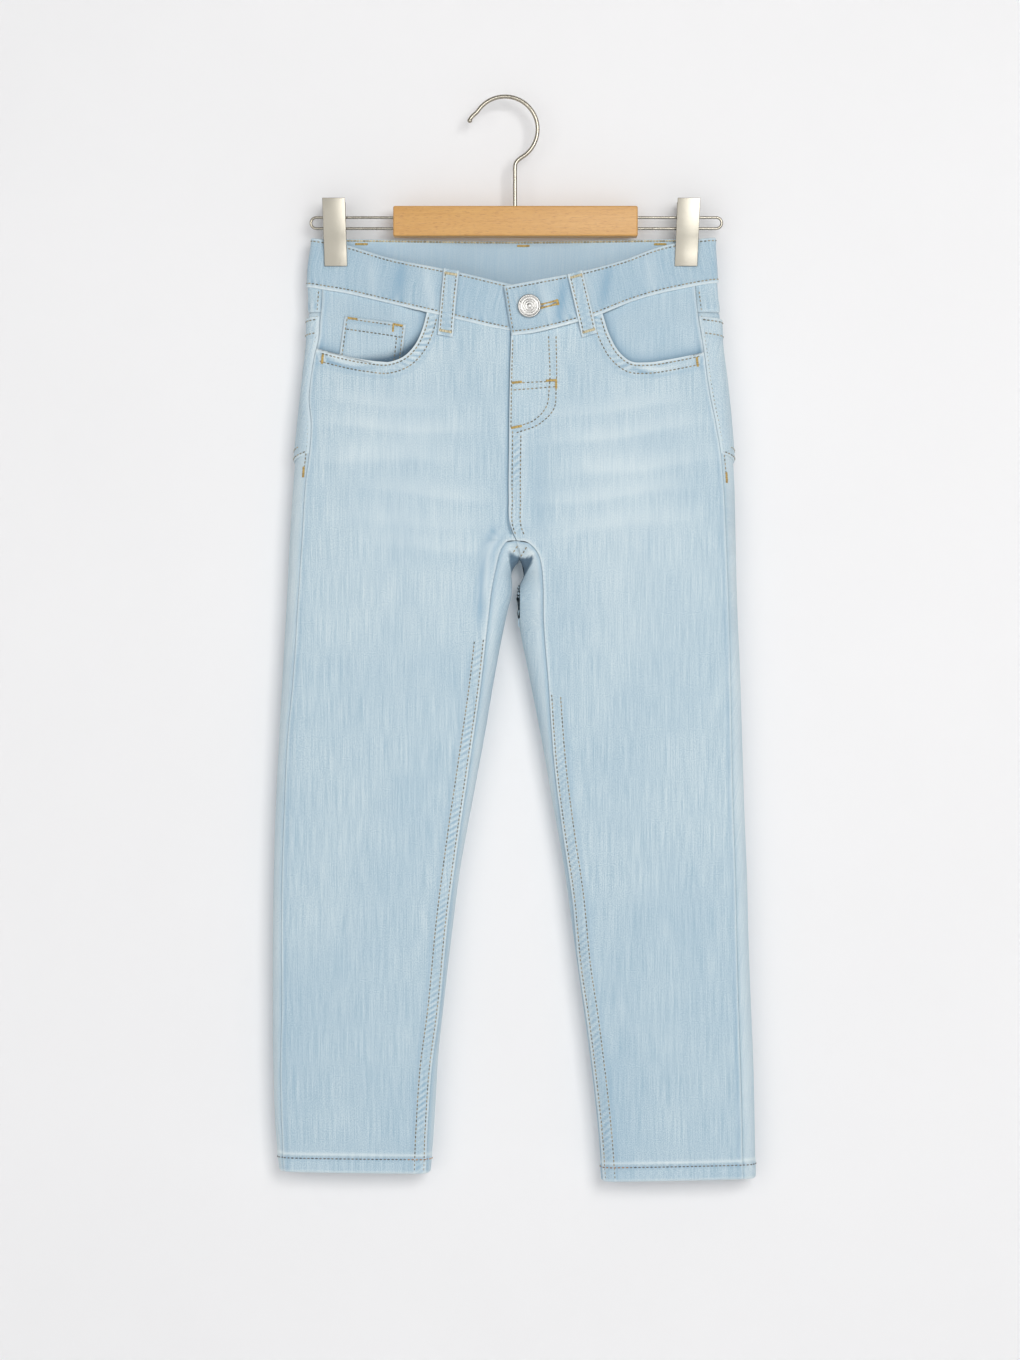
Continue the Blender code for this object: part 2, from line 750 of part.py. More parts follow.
def back_panel(side):
    """A back, from the side seam to the seat seam and then the inside leg seam."""
    sign = SIDES[side]
    columns = 19
    outseam = moved_aside(seam_line(OUTSEAM, side, 40, PAST_THE_HEM, SEAM_POINTS), sign * HALF_GAP)
    inseam = rounded(points_of({"left": INSEAM_LEFT, "right": INSEAM_RIGHT}[side]), 240)
    seat = seam_line(SEAT_SEAM, "x", 40, APEX_DROP)
    under = np.array([[APEX_X, APEX_DROP], [1.0, CROSS_DROP]])
    front_line = moved_aside(np.vstack([spaced(under, 12)[:-1], inseam]), -sign * HALF_GAP)
    seat = seat + [sign * HALF_GAP, 0]
    cross = 11
    rise, lower = front_line[: cross + 1], front_line[cross:]
    top_outer, top_inner = YOKE_SIDE_DROP + HALF_GAP, YOKE_CENTRE_DROP + HALF_GAP
    pocket_end = pocket_edge(side)[-1, 1]
    hip_stations = np.concatenate([[top_outer, 68.0, pocket_end], HIP_STATIONS])
    crotch_outer = np.linspace(HIP_STATIONS[-1], CROTCH_SIDE, 8)
    bands = [
        (between_drops(seat, top_inner, SEAT_DROP), at_drops(outseam, hip_stations)),
        (between_drops(seat, SEAT_DROP, APEX_DROP - 0.1), at_drops(outseam, crotch_outer[:5])),
        (rise, at_drops(outseam, crotch_outer[4:])),
        (
            lower[lower[:, 1] <= CROTCH_END],
            spaced(between_drops(outseam, CROTCH_SIDE, CROTCH_END), 7),
        ),
    ]
    inner, outer = stacked(bands + leg_bands(side, lower, outseam))
    last_on_back = len(hip_stations) - 1 + 4
    last_rising = last_on_back + 3
    rows = []
    for number, (start, end) in enumerate(zip(outer, inner)):
        if number < last_on_back:
            rows.append(round_the_back(side, start, end, 1, None, columns))
            continue
        if number <= last_rising:
            crossing = APEX_DROP + (APEX_DROP - end[1]) * 10 / (APEX_DROP - CROSS_DROP)
        else:
            nearness = np.clip(1 - (end[1] - CROSS_DROP) / 70, 0, 1)
            crossing = end[1] + 25 * nearness**2
        rows.append(round_the_back(side, start, end, -1, crossing, columns))
    lattice = tuple(np.stack(values) for values in zip(*rows))
    level, thickness = hem_thickness(len(rows), lattice[0].shape)
    return wall(f"back_{side}", lattice, level, thickness, DENIM)


def yoke_drop(side, x):
    """The yoke seam, straight from the side seam down to the centre back."""
    span = (x - edge_x(side, YOKE_SIDE_DROP)) / (APEX_X - edge_x(side, YOKE_SIDE_DROP))
    return YOKE_SIDE_DROP + (YOKE_CENTRE_DROP - YOKE_SIDE_DROP) * np.clip(span, 0, 1)


def yoke(side):
    """A back yoke, from the side seam on the front round to the centre back."""
    sign = SIDES[side]
    rows = []
    for share in np.linspace(0, 1, 4):
        guess = BAND_HEIGHT + (YOKE_SIDE_DROP - BAND_HEIGHT) * share
        start = float(smooth(OUTSEAM, side, guess)) + sign * HALF_GAP
        tip = float(edge_x(side, guess))
        centre = float(smooth(SEAT_SEAM, "x", guess)) + sign * HALF_GAP
        on_front = start + (tip - start) * (1 - np.linspace(1, 0, 4) ** 2)
        on_back = tip + (centre - tip) * np.linspace(0, 1, 15)[1:] ** 1.6
        x = np.concatenate([on_front, on_back])
        face = np.concatenate([np.full(4, -1), np.full(14, 1)])
        edge = [float(band_lower_edge(side, px, pf)) for px, pf in zip(x, face)]
        top = np.array(edge) + BAND_GAP
        bottom = np.where(face < 0, YOKE_SIDE_DROP, yoke_drop(side, x)) - HALF_GAP
        drop = top + (bottom - top) * share
        inset = np.abs(x - tip)
        x = np.where(inset < 12, edge_x(side, drop) + (x - tip), x)
        rows.append((x, drop, face))
    lattice = tuple(np.stack(values) for values in zip(*rows))
    return wall(f"yoke_{side}", lattice, 0.0, CLOTH, DENIM)


def facing_level(side, x, drop):
    """The facing lies deep under the pocket's edge and comes up towards the side seam."""
    edge = pocket_edge(side)[::4]
    away = np.min(np.hypot(x[..., None] - edge[:, 0], drop[..., None] - edge[:, 1]), axis=-1)
    return -FACING_TOP - (FACING_DEPTH - FACING_TOP) * (1 - ease((away - FACING_NEAR) / FACING_RISE))


def four_sided(top, right, bottom, left, rows, columns):
    """A grid over a region with four edges, each a line of points."""
    u = np.linspace(0, 1, columns)[None, :, None]
    v = np.linspace(0, 1, rows)[:, None, None]
    top, bottom = (spaced(line, columns)[None] for line in (top, bottom))
    left, right = (spaced(line, rows)[:, None] for line in (left, right))
    straight = (1 - v) * top + v * bottom + (1 - u) * left + u * right
    corners = (1 - u) * (1 - v) * top[:, :1] + u * (1 - v) * top[:, -1:]
    corners = corners + (1 - u) * v * bottom[:, :1] + u * v * bottom[:, -1:]
    grid = straight - corners
    return grid[..., 0], grid[..., 1]


def pocket_facing(side):
    """The denim inside a front pocket, from the waistband to 6 mm under the pocket's edge."""
    sign = SIDES[side]
    edge = moved_aside(pocket_edge(side), sign * -6.0)
    turn = int(len(edge) * 0.42)
    start_x = edge[0, 0]
    outer_x = float(smooth(OUTSEAM, side, 40)) - sign * HALF_GAP
    top_x = np.linspace(outer_x, start_x, 24)
    top = np.stack([top_x, band_lower_edge(side, top_x, -1) + BAND_GAP], axis=-1)
    edge[0, 1] = top[-1, 1]
    outseam = moved_aside(seam_line(OUTSEAM, side, 30, 120, 80), -sign * HALF_GAP)
    left = between_drops(outseam, top[0, 1], edge[-1, 1])
    edge[-1] = left[-1]
    bottom = edge[turn:][::-1]
    right = edge[: turn + 1]
    x, drop = four_sided(top, right, bottom, left, 8, 9)
    level = facing_level(side, x, drop)
    return wall(f"pocket_facing_{side}", (x, drop, -1), level, FACING_THICKNESS, DENIM)


def coin_pocket():
    """The small pocket on the image's left facing, its foot under the front pocket's edge."""
    corners = points_of(COIN_POCKET)
    edges = [np.array([corners[a], corners[b]]) for a, b in ((0, 1), (1, 2), (3, 2), (0, 3))]
    x, drop = four_sided(*edges, 5, 6)
    level = facing_level("left", x, drop) + COIN_GAP + COIN_THICKNESS
    return wall("coin_pocket", (x, drop, -1), level, COIN_THICKNESS, DENIM)


def fly_shield():
    """The strip behind the fly, under both fronts."""
    drop = np.linspace(72.6, FLY_END_DROP, 7)[:, None]
    x = smooth(CENTRE_FRONT, "x", drop) - 5.0 + np.linspace(0, SHIELD_WIDTH, 5)[None, :]
    level = -CLOTH - SEAM_GAP
    return wall("fly_shield", (x, np.broadcast_to(drop, x.shape), -1), level, SHIELD_THICKNESS, DENIM)


def round_the_side(side, away, drop):
    """Turns a distance along the cloth from the silhouette into x and face; under 0 is the front."""
    sign = SIDES[side]
    rounding = smooth(DEPTH, "rounding", drop)
    depth = np.sqrt(np.maximum(depth_squared(edge_x(side, drop) - sign * rounding, drop), 1))
    quarter = math.pi / 2 * np.sqrt((rounding**2 + depth**2) / 2)
    share = np.minimum(np.abs(away) / quarter, 1)
    inset = rounding * (1 - np.cos(share * math.pi / 2)) + np.maximum(np.abs(away) - quarter, 0)
    return edge_x(side, drop) - sign * inset, np.where(away < 0, -1, 1)


def back_pocket(side):
    """A five-sided patch on a back, whose outer edge comes round to the front."""
    shape = BACK_POCKET
    across = np.concatenate([np.linspace(0, 0.28, 8)[:-1], np.linspace(0.28, 1, 8)])[None, :]
    down = np.linspace(0, 1, 8)[:, None]
    height = BACK_POCKET_SIDE
    height = height + (BACK_POCKET_POINT - BACK_POCKET_SIDE) * (1 - np.abs(2 * across - 1))
    top = shape["top_outer"] + (shape["top_inner"] - shape["top_outer"]) * across
    drop = top + height * down
    low = shape["outer"] + shape["taper"] * 0.3 * down
    high = shape["inner"] - shape["taper"] * down
    away = low + (high - low) * across
    x, face = round_the_side(side, away, drop)
    level = SEAM_GAP + PATCH_THICKNESS + 0.5 * (1 - ease(np.abs(away) / 24.0))
    return wall(f"back_pocket_{side}", (x, drop, face), level, PATCH_THICKNESS, DENIM)


def flap_lift(top_x):
    """How far the waistband's flap stands off the band beneath it."""
    return FLAP_RISE * ease((50.0 - top_x) / 26.0)


def belt_loop(name):
    """A folded strip from the waistband's top edge to just below it, standing off in the middle."""
    top_x, top_drop, end_x, end_drop, face = LOOPS[name]
    down = np.linspace(0, 1, 9)
    drop = (top_drop + 0.6 + (end_drop - top_drop - 0.6) * down)[:, None]
    middle = (top_x + (end_x - top_x) * down)[:, None]
    x = middle + np.linspace(-LOOP_WIDTH / 2, LOOP_WIDTH / 2, 3)[None, :]
    drop = drop + (x - middle) * (LOOP_TILT.get(name, 0.0))
    band = BAND_OUTSIDE + (flap_lift(top_x + x - middle) if name.endswith("front_right") else 0)
    past = ease((down - 0.76) / 0.2)[:, None]
    slack = 0.8 * np.sin(np.minimum(down / 0.75, 1) * math.pi)[:, None]
    level = SEAM_GAP + (band + 0.25) * (1 - past) + 0.2 * past + slack + LOOP_THICKNESS
    return wall(name, (x, drop, face), level, LOOP_THICKNESS, DENIM)


def local_frame(x, drop, level):
    """A place on the front with the directions along x, up the cloth and out of it."""
    here = skin(x, drop, -1, level)
    out = skin(x, drop, -1, level + 1.0) - here
    along = skin(x + 1.0, drop, -1, level) - here
    along = along - out * np.dot(along, out)
    along /= np.linalg.norm(along)
    return here, along, np.cross(out, along), out


def turned(name, profile, x, drop, level, segments, look):
    """A round piece on the cloth, spun from its profile of radius and height."""
    here, along, up, out = local_frame(x, drop, level)
    bm = bmesh.new()
    verts = [bm.verts.new((radius, 0, height)) for radius, height in profile]
    edges = [bm.edges.new(pair) for pair in zip(verts, verts[1:])]
    bmesh.ops.spin(
        bm, geom=verts + edges, axis=(0, 0, 1), cent=(0, 0, 0), angle=math.tau, steps=segments,
        use_merge=True,
    )
    bmesh.ops.remove_doubles(bm, verts=bm.verts[:], dist=1e-5)
    for vert in bm.verts:
        place = here + along * vert.co.x + up * vert.co.y + out * vert.co.z
        vert.co = place * MM
    return finished(name, bm, look)


def waistband():
    """The waistband, with a round hole in its flap where the button's shank passes."""
    lattice, lift = band_lattice()
    band = wall("waistband", lattice, BAND_OUTSIDE + lift, BAND_THICKNESS, DENIM)
    under = BAND_OUTSIDE + FLAP_RISE - BAND_THICKNESS - 0.35
    profile = [(0, 0), (BUTTONHOLE_RADIUS, 0), (BUTTONHOLE_RADIUS, 5), (0, 5)]
    cutter = turned("shank_cutter", profile, BUTTON_X, BUTTON_DROP, under, 16, STEEL)
    cutter.hide_render = True
    cutter.display_type = "WIRE"
    hole = band.modifiers.new("buttonhole", "BOOLEAN")
    hole.object = cutter
    hole.operation = "DIFFERENCE"
    return band


def button():
    """The shank button: a domed cap with a raised rim, on a shank that passes through the flap."""
    top = BAND_OUTSIDE + FLAP_RISE
    foot = BAND_OUTSIDE - UNDERLAP_SINK + SEAM_GAP
    cap = top + SEAM_GAP - foot
    r, h = BUTTON_RADIUS, BUTTON_HEIGHT
    profile = [
        (0, 0),
        (SHANK_RADIUS, 0),
        (SHANK_RADIUS, cap),
        (r - 1.0, cap),
        (r, cap + 0.9),
        (r - 0.1, cap + h - 0.7),
        (r - 0.9, cap + h - 0.1),
        (r - 1.9, cap + h - 0.5),
        (r * 0.4, cap + h - 0.1),
        (0, cap + h),
    ]
    return turned("button", profile, BUTTON_X, BUTTON_DROP, foot, 24, STEEL)


def tube(name, points, radius, look, sides=2):
    """A bent wire along a list of points."""
    curve = bpy.data.curves.new(name, "CURVE")
    curve.dimensions = "3D"
    curve.bevel_depth = radius * MM
    curve.bevel_resolution = sides
    curve.use_fill_caps = True
    spline = curve.splines.new("POLY")
    spline.points.add(len(points) - 1)
    for place, point in zip(points, spline.points):
        point.co = (place[0] * MM, place[1] * MM, place[2] * MM, 1)
    obj = bpy.data.objects.new(name, curve)
    bpy.context.scene.collection.objects.link(obj)
    curve.materials.append(material(name, look))
    return obj


def hanger_hook():
    """The hook: most of a circle from its open end, then a short bend into the stem."""
    points = []
    for degrees in np.linspace(166, -60, 22):
        flare = 2.6 * ease((degrees - 146) / 20)
        radius = HOOK_RADIUS + flare
        angle = math.radians(degrees)
        x = HOOK_CENTRE_X + radius * math.cos(angle)
        z = HOOK_CENTRE_Z + radius * math.sin(angle)
        points.append((x, 0, z))
    last_x, _, last_z = points[-1]
    points.append((last_x - 2.9, 0, last_z - 2.4))
    points.append((last_x - 4.2, 0, last_z - 4.6))
    points.append((0, 0, last_z - 7.6))
    points.append((0, 0, BAR_TOP + SEAM_GAP))
    return tube("hanger_hook", points, HOOK_WIRE, STEEL, 3)


def hanger_bar():
    """The beech bar, with its long edges eased."""
    bm = bmesh.new()
    bmesh.ops.create_cube(bm, size=1)
    middle = ((BAR_LEFT + BAR_RIGHT) / 2, 0, (BAR_TOP + BAR_BOTTOM) / 2)
    size = (BAR_RIGHT - BAR_LEFT, BAR_DEPTH, BAR_TOP - BAR_BOTTOM)
    for vert in bm.verts:
        vert.co = [(vert.co[axis] * size[axis] + middle[axis]) * MM for axis in range(3)]
    bmesh.ops.bevel(
        bm, geom=bm.edges[:], offset=1.5 * MM, segments=2, profile=0.5, affect="EDGES", material=-1
    )
    return finished("hanger_bar", bm, BEECH)


def hanger_wire(side):
    """One hairpin of wire out of the bar's end, on which the clip slides."""
    sign = SIDES[side]
    start = {"left": BAR_LEFT, "right": BAR_RIGHT}[side] + sign * SEAM_GAP
    reach = {"left": WIRE_REACH_LEFT, "right": WIRE_REACH_RIGHT}[side]
    radius = (WIRE_UPPER_Z - WIRE_LOWER_Z) / 2
    centre = reach - sign * (radius + WIRE_RADIUS)
    middle = (WIRE_UPPER_Z + WIRE_LOWER_Z) / 2
    points = [(start, 0, WIRE_UPPER_Z)]
    for degrees in np.linspace(90, -90, 9):
        angle = math.radians(degrees)
        points.append((centre + sign * radius * math.cos(angle), 0, middle + radius * math.sin(angle)))
    points.append((start, 0, WIRE_LOWER_Z))
    return tube(f"hanger_wire_{side}", points, WIRE_RADIUS, STEEL)


def clip_plate(side, face):
    """One plate of a clip: flat at the jaw, leaning out to the top, with its sides folded inwards."""
    top_x, foot_x = CLIPS[side]
    rows = [
        (CLIP_BOTTOM, CLIP_JAW_Y, 0.0),
        (CLIP_BOTTOM + 9.0, CLIP_JAW_Y, 0.0),
        (-99.8, CLIP_JAW_Y + 2.2, 0.0),
        (-98.8, CLIP_JAW_Y + 2.3, CLIP_FLANGE),
        (CLIP_TOP - 4.0, CLIP_TOP_Y - 0.4, CLIP_FLANGE),
        (CLIP_TOP - 3.0, CLIP_TOP_Y - 0.3, 0.0),
        (CLIP_TOP, CLIP_TOP_Y, 0.0),
    ]
    half = CLIP_WIDTH / 2 - (0.0 if face < 0 else 0.6)
    outside, inside = [], []
    for z, y, flange in rows:
        share = (z - CLIP_BOTTOM) / (CLIP_TOP - CLIP_BOTTOM)
        x = foot_x + (top_x - foot_x) * share
        depth = max(flange, 0.0)
        outer = [(x - half, y - depth), (x - half, y), (x + half, y), (x + half, y - depth)]
        low = half - CLIP_PLATE
        inner = [(x - low, y - depth), (x - low, y), (x + low, y), (x + low, y - depth)]
        outside.append([(px, face * (py + CLIP_PLATE), z) for px, py in outer])
        inside.append([(px, face * py, z) for px, py in inner])
    outside, inside = np.array(outside) * MM, np.array(inside) * MM
    for row in range(len(rows)):
        for column in (0, 3):
            outside[row, column, 1] = inside[row, column, 1]
    name = {-1: "front", 1: "back"}[face]
    return sheet_between(f"clip_{name}_{side}", outside, inside, (len(rows), 4), STEEL)


def clear_scene():
    for obj in list(bpy.data.objects):
        bpy.data.objects.remove(obj, do_unlink=True)


def build():
    clear_scene()
    for side in SIDES:
        front_panel(side)
        back_panel(side)
        yoke(side)
        pocket_facing(side)
        back_pocket(side)
        hanger_wire(side)
        clip_plate(side, -1)
        clip_plate(side, 1)
    waistband()
    fly_shield()
    coin_pocket()
    for name in LOOPS:
        belt_loop(name)
    button()
    hanger_hook()
    hanger_bar()


build()
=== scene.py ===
# %% [markdown]
# # Slim fit jeans on a clip hanger
# These are a child's jeans in pale washed stretch denim, pinched by the waistband in two steel clips.
# The solids already hold every piece at its real size: fronts, backs, yokes, pockets, waistband, loops,
# button and hanger. This lesson dresses them. Each cloth piece is sewn again as a finer wall in the same
# place, with its rolled edges, puckered seams, real stitches and washed colour, with shade, shadow and some
# highlights painted into that colour; each metal or wooden piece gets its rounded edges and its finish.

# %% The solids and the body they ride on
import math

import bmesh
import bpy
import numpy as np
from mathutils import Matrix, Vector


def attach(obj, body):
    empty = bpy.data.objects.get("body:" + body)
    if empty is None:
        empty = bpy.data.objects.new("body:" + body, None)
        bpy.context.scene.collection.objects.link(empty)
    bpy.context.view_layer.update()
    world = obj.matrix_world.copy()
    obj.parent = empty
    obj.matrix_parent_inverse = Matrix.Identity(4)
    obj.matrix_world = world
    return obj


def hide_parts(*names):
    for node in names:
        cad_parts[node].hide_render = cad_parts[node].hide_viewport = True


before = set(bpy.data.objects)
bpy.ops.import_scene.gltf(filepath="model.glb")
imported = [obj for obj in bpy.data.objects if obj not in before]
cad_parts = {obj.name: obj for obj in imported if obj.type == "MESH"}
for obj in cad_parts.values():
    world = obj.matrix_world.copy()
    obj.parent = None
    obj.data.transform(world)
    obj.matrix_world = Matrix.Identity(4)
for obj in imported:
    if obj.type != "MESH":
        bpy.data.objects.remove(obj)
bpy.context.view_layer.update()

BODY = "root"
MM = 0.001


def linked(name, data):
    """A new object in the scene, at the origin."""
    obj = bpy.data.objects.new(name, data)
    bpy.context.scene.collection.objects.link(obj)
    return obj


def meshed(name, bm):
    """A mesh from a finished bmesh, which is then let go."""
    mesh = bpy.data.meshes.new(name)
    bm.to_mesh(mesh)
    bm.free()
    return mesh


# %% [markdown]
# ## The pattern tables
# A pattern cutter describes jeans by a few lines: the silhouette, the side seams, the inside leg seams,
# the pocket curves and the waistband. One could model each panel freely, but then the seams would drift
# apart. Here all of them are short tables in millimetres: x to the right from the hook's stem, and
# "drop" down from the waistband's back edge. Every panel, stitch and pucker reads the same tables, so
# neighbours always meet.

# %% Sizes and tables
WAIST_Z = -100.8
CLOTH = 1.2
SEAM_GAP = 0.3
HALF_GAP = SEAM_GAP / 2
BAND_OUTSIDE = 0.6
BAND_THICKNESS = 2.4
BAND_HEIGHT = 36.0
FLAP_RISE = 2.1
UNDERLAP_SINK = 1.4
HEM_HEIGHT = 12.0
HEM_THICKNESS = 2.6
HEM_OUTSIDE = 0.4
APEX_X, APEX_DROP = 3.6, 234.9
CROSS_DROP = 220.4
CROTCH_SIDE, CROTCH_END = 212.0, 277.7
YOKE_SIDE_DROP, YOKE_CENTRE_DROP = 54.3, 80.3
TURN_WEIGHT = 22.0
SIDES = {"left": -1, "right": 1}


def table(columns, *rows):
    """A table with named columns, one row for each height or place."""
    return {name: np.array(values, float) for name, values in zip(columns.split(), zip(*rows))}


# The silhouette of the jeans, from the front.
OUTLINE = table(
    "drop left right",
    (-2, -147.8, 145.6), (8, -148.6, 145.8), (17, -150.0, 146.5), (34, -150.8, 147.4),
    (57, -150.2, 149.0), (79, -150.9, 150.2), (100, -153.3, 153.0), (137, -157.3, 156.7),
    (176, -161.0, 159.5), (220, -163.9, 160.6), (263, -166.0, 161.6), (321, -169.3, 164.0),
    (367, -171.8, 165.4), (412, -174.0, 166.8), (459, -175.5, 168.7), (510, -176.2, 170.0),
    (560, -176.2, 171.8), (604, -175.8, 173.6), (655, -173.6, 174.6), (686, -170.0, 175.0),
)

# The edges of the gap between the legs, from its top down.
LEG_GAP = table(
    "drop left right",
    (235, 3.4, 3.8), (239, -0.4, 6.2), (243, -2.2, 7.0), (251, -2.0, 3.9), (260, -2.5, 1.3),
    (270, -5.1, 1.5), (278, -6.9, 2.6), (321, -15.2, 10.9), (364, -22.5, 19.3),
    (407, -30.5, 26.8), (459, -39.9, 36.0), (504, -45.7, 42.1), (560, -52.2, 49.8),
    (594, -55.8, 54.4), (624, -57.6, 58.0), (655, -59.5, 61.1), (686, -62.6, 63.1),
)

# Half the depth of the flattened cloth next to its round edges, the fullness in the middle of the body
# and of each leg, how sharply the body's fullness falls off, and how far in the edges are round.
DEPTH = table(
    "drop edge body_crown leg_crown sharpness rounding",
    (-5, 2.5, 10.0, 0.0, 2.6, 4.5),
    (36, 3.4, 10.5, 0.0, 2.3, 6.0),
    (80, 6.5, 8.0, 0.0, 1.6, 9.5),
    (130, 9.5, 5.0, 1.0, 1.1, 13.0),
    (180, 11.0, 2.5, 2.4, 1.0, 14.5),
    (235, 11.4, 0.0, 3.4, 1.0, 15.0),
    (321, 11.2, 0.0, 3.2, 1.0, 15.0),
    (459, 10.2, 0.0, 2.6, 1.0, 14.0),
    (604, 9.4, 0.0, 2.0, 1.0, 12.5),
    (690, 8.8, 0.0, 1.6, 1.0, 11.5),
)

# The side seams, which show on the front.
OUTSEAM = table(
    "drop left right",
    (30, -140.4, 130.6), (46, -140.4, 132.0), (59, -141.6, 133.4), (73, -142.4, 135.6),
    (84, -145.0, 137.2), (102, -148.2, 139.4), (118, -149.4, 141.9), (134, -147.8, 145.2),
    (158, -149.1, 149.2), (176, -151.5, 150.8), (220, -154.4, 153.0), (263, -157.2, 154.6),
    (321, -161.0, 156.2), (367, -165.2, 157.0), (412, -167.3, 158.0), (459, -168.9, 159.6),
    (520, -169.4, 161.0), (560, -169.2, 162.1), (604, -170.2, 163.5), (655, -168.9, 164.8),
    (690, -167.2, 165.5),
)

# The centre front from the waistband to the crotch.
CENTRE_FRONT = table(
    "drop x",
    (60, -1.4), (107, -2.8), (151, -3.4), (190, -3.6), (212, -2.6), (220.4, 1.0),
)

# The seat seam from the waist down the back to the top of the gap.
SEAT_SEAM = table("drop x", (30, 5.6), (120, 4.4), (200, 3.4), (234.9, 3.6))

# The inside leg seams from the crotch, where all four panels meet, to the hems.
INSEAM_LEFT = table(
    "x drop",
    (1.0, 220.4), (-5.5, 220.9), (-9.2, 225.0), (-11.6, 231.0), (-13.4, 239.0), (-16.1, 251.6),
    (-19.4, 277.7), (-24.4, 321.2), (-34.2, 390.0), (-41.0, 436.0), (-48.9, 496.6),
    (-55.1, 560.4), (-60.7, 604.0), (-63.4, 644.0), (-65.6, 700.0),
)
INSEAM_RIGHT = table(
    "x drop",
    (1.0, 220.4), (8.0, 221.2), (13.6, 225.4), (17.2, 231.0), (19.0, 238.0), (20.2, 251.6),
    (20.6, 277.7), (23.9, 321.2), (29.4, 390.0), (34.6, 430.0), (41.2, 475.0), (47.5, 535.0),
    (51.4, 560.4), (57.0, 604.0), (61.4, 644.0), (65.6, 700.0),
)

# The waistband's two edges, from the flap's end round the right side, and from the left side to the
# button end, which lies under the flap.
BAND_FRONT_RIGHT = table(
    "top_x top_drop bottom_x bottom_drop",
    (-8.4, 36.6, -2.6, 72.4),
    (14.0, 32.4, 17.5, 69.6),
    (43.0, 26.4, 53.6, 59.6),
    (76.5, 17.2, 84.0, 47.2),
    (104.0, 6.8, 108.0, 40.0),
    (131.0, 0.6, 133.0, 34.6),
)
BAND_FRONT_LEFT = table(
    "top_x top_drop bottom_x bottom_drop",
    (-134.0, 1.8, -136.0, 38.2),
    (-118.0, 6.2, -120.0, 41.0),
    (-88.5, 15.4, -93.0, 47.6),
    (-45.7, 24.6, -50.3, 58.2),
    (-12.0, 32.6, -10.0, 67.6),
    (4.0, 35.4, 6.0, 69.2),
    (22.0, 33.6, 26.0, 66.0),
)
BAND_CORNERS = {"left": (-0.4, 35.6), "right": (-0.7, 32.4)}

# The curved edges of the front pockets, from the waistband to the side seam.
POCKET_EDGE_LEFT = table(
    "x drop",
    (-63.9, 54.8), (-67.6, 68.5), (-73.2, 79.8), (-80.8, 87.3), (-90.8, 91.0), (-106.9, 89.8),
    (-125.7, 86.0), (-145.2, 80.6),
)
POCKET_EDGE_RIGHT = table(
    "x drop",
    (63.4, 55.6), (68.9, 72.3), (76.5, 84.8), (84.0, 90.4), (95.0, 91.2), (113.8, 88.5),
    (126.0, 86.0), (137.3, 83.4),
)

# The lower edge of each leg: the x and then the drop of its two ends.
HEM_LINES = {"left": ((-171, -60), (677.9, 679.4)), "right": ((62, 176), (685.4, 683.0))}

# The folds, and then the smaller creases: where the middle of each is, its half length and half width,
# how far its lower end leans to the right, its height, and whether it is on the front (-1) or the back (1).
FOLDS = table(
    "x drop length width lean height face",
    (36, 150, 70, 9, -10, 0.9, -1),
    (68, 125, 45, 10, -16, -0.9, -1),
    (-120, 185, 70, 12, 8, 0.8, -1),
    (-60, 150, 60, 14, 10, -0.7, -1),
    (118, 180, 75, 12, -8, 0.8, -1),
    (-90, 420, 130, 16, -14, 0.8, -1),
    (95, 470, 130, 16, 14, 0.8, -1),
    (-70, 150, 60, 13, 14, 0.9, 1),
    (75, 160, 65, 13, -14, 0.9, 1),
    (-95, 240, 60, 14, 20, -1.0, 1),
    (90, 245, 60, 14, -20, -1.0, 1),
    (-110, 470, 130, 16, 12, 0.9, 1),
    (110, 440, 130, 16, -12, 0.9, 1),
    (-22, 236, 46, 4.2, -7, 0.95, -1),
    (-31, 228, 52, 4.6, -9, -0.9, -1),
    (-41, 240, 44, 5.0, -10, 0.75, -1),
    (30, 246, 44, 4.6, 8, 0.45, -1),
    (42, 236, 48, 5.4, 9, -0.4, -1),
    (14, 196, 26, 5.0, -3, 0.35, -1),
    (-70, 300, 60, 9, -14, 0.4, -1),
    (-128, 330, 80, 8, -8, -0.45, -1),
    (120, 340, 80, 8, 8, -0.45, -1),
    (84, 560, 90, 10, 10, 0.45, -1),
    (-112, 590, 80, 9, -6, 0.4, -1),
    (-36, 258, 50, 5.0, -10, 0.5, 1),
    (44, 262, 52, 5.4, 10, 0.5, 1),
    (-60, 276, 60, 7.0, -12, -0.45, 1),
    (66, 280, 58, 7.0, 12, -0.45, 1),
    (-88, 560, 90, 9, 8, 0.4, 1),
    (94, 570, 90, 10, -8, 0.4, 1),
)


# %% [markdown]
# ## The skin the cloth lies on
# Flattened jeans are two layers over one soft lens-shaped form, round at the sides and at the inside legs.
# That form is a formula: a half depth for each place, rounded to nothing at the silhouette. Cloth then needs
# only a place (x and drop), a face (-1 front, 1 back) and a level, which says how far it lies outside the
# form. The same call places a panel, a stitch on it and the button above it.

# %% Reading tables and shaping the skin
def smooth(rows, column, at, along="drop"):
    """Reads a table's column between its rows, with a smooth slope at each row."""
    places, values = rows[along], rows[column]
    slopes = np.gradient(values, places)
    at = np.clip(np.asarray(at, float), places[0], places[-1])
    low = np.clip(np.searchsorted(places, at, side="right") - 1, 0, len(places) - 2)
    step = places[low + 1] - places[low]
    t = (at - places[low]) / step
    start = values[low] * (1 + 2 * t) + step * slopes[low] * t
    end = values[low + 1] * (3 - 2 * t) - step * slopes[low + 1] * (1 - t)
    return start * (1 - t) ** 2 + end * t**2


def ease(value):
    """A smooth step from 0 to 1."""
    value = np.clip(value, 0.0, 1.0)
    return value * value * (3 - 2 * value)


def edge_x(side, drop):
    return smooth(OUTLINE, side, drop)


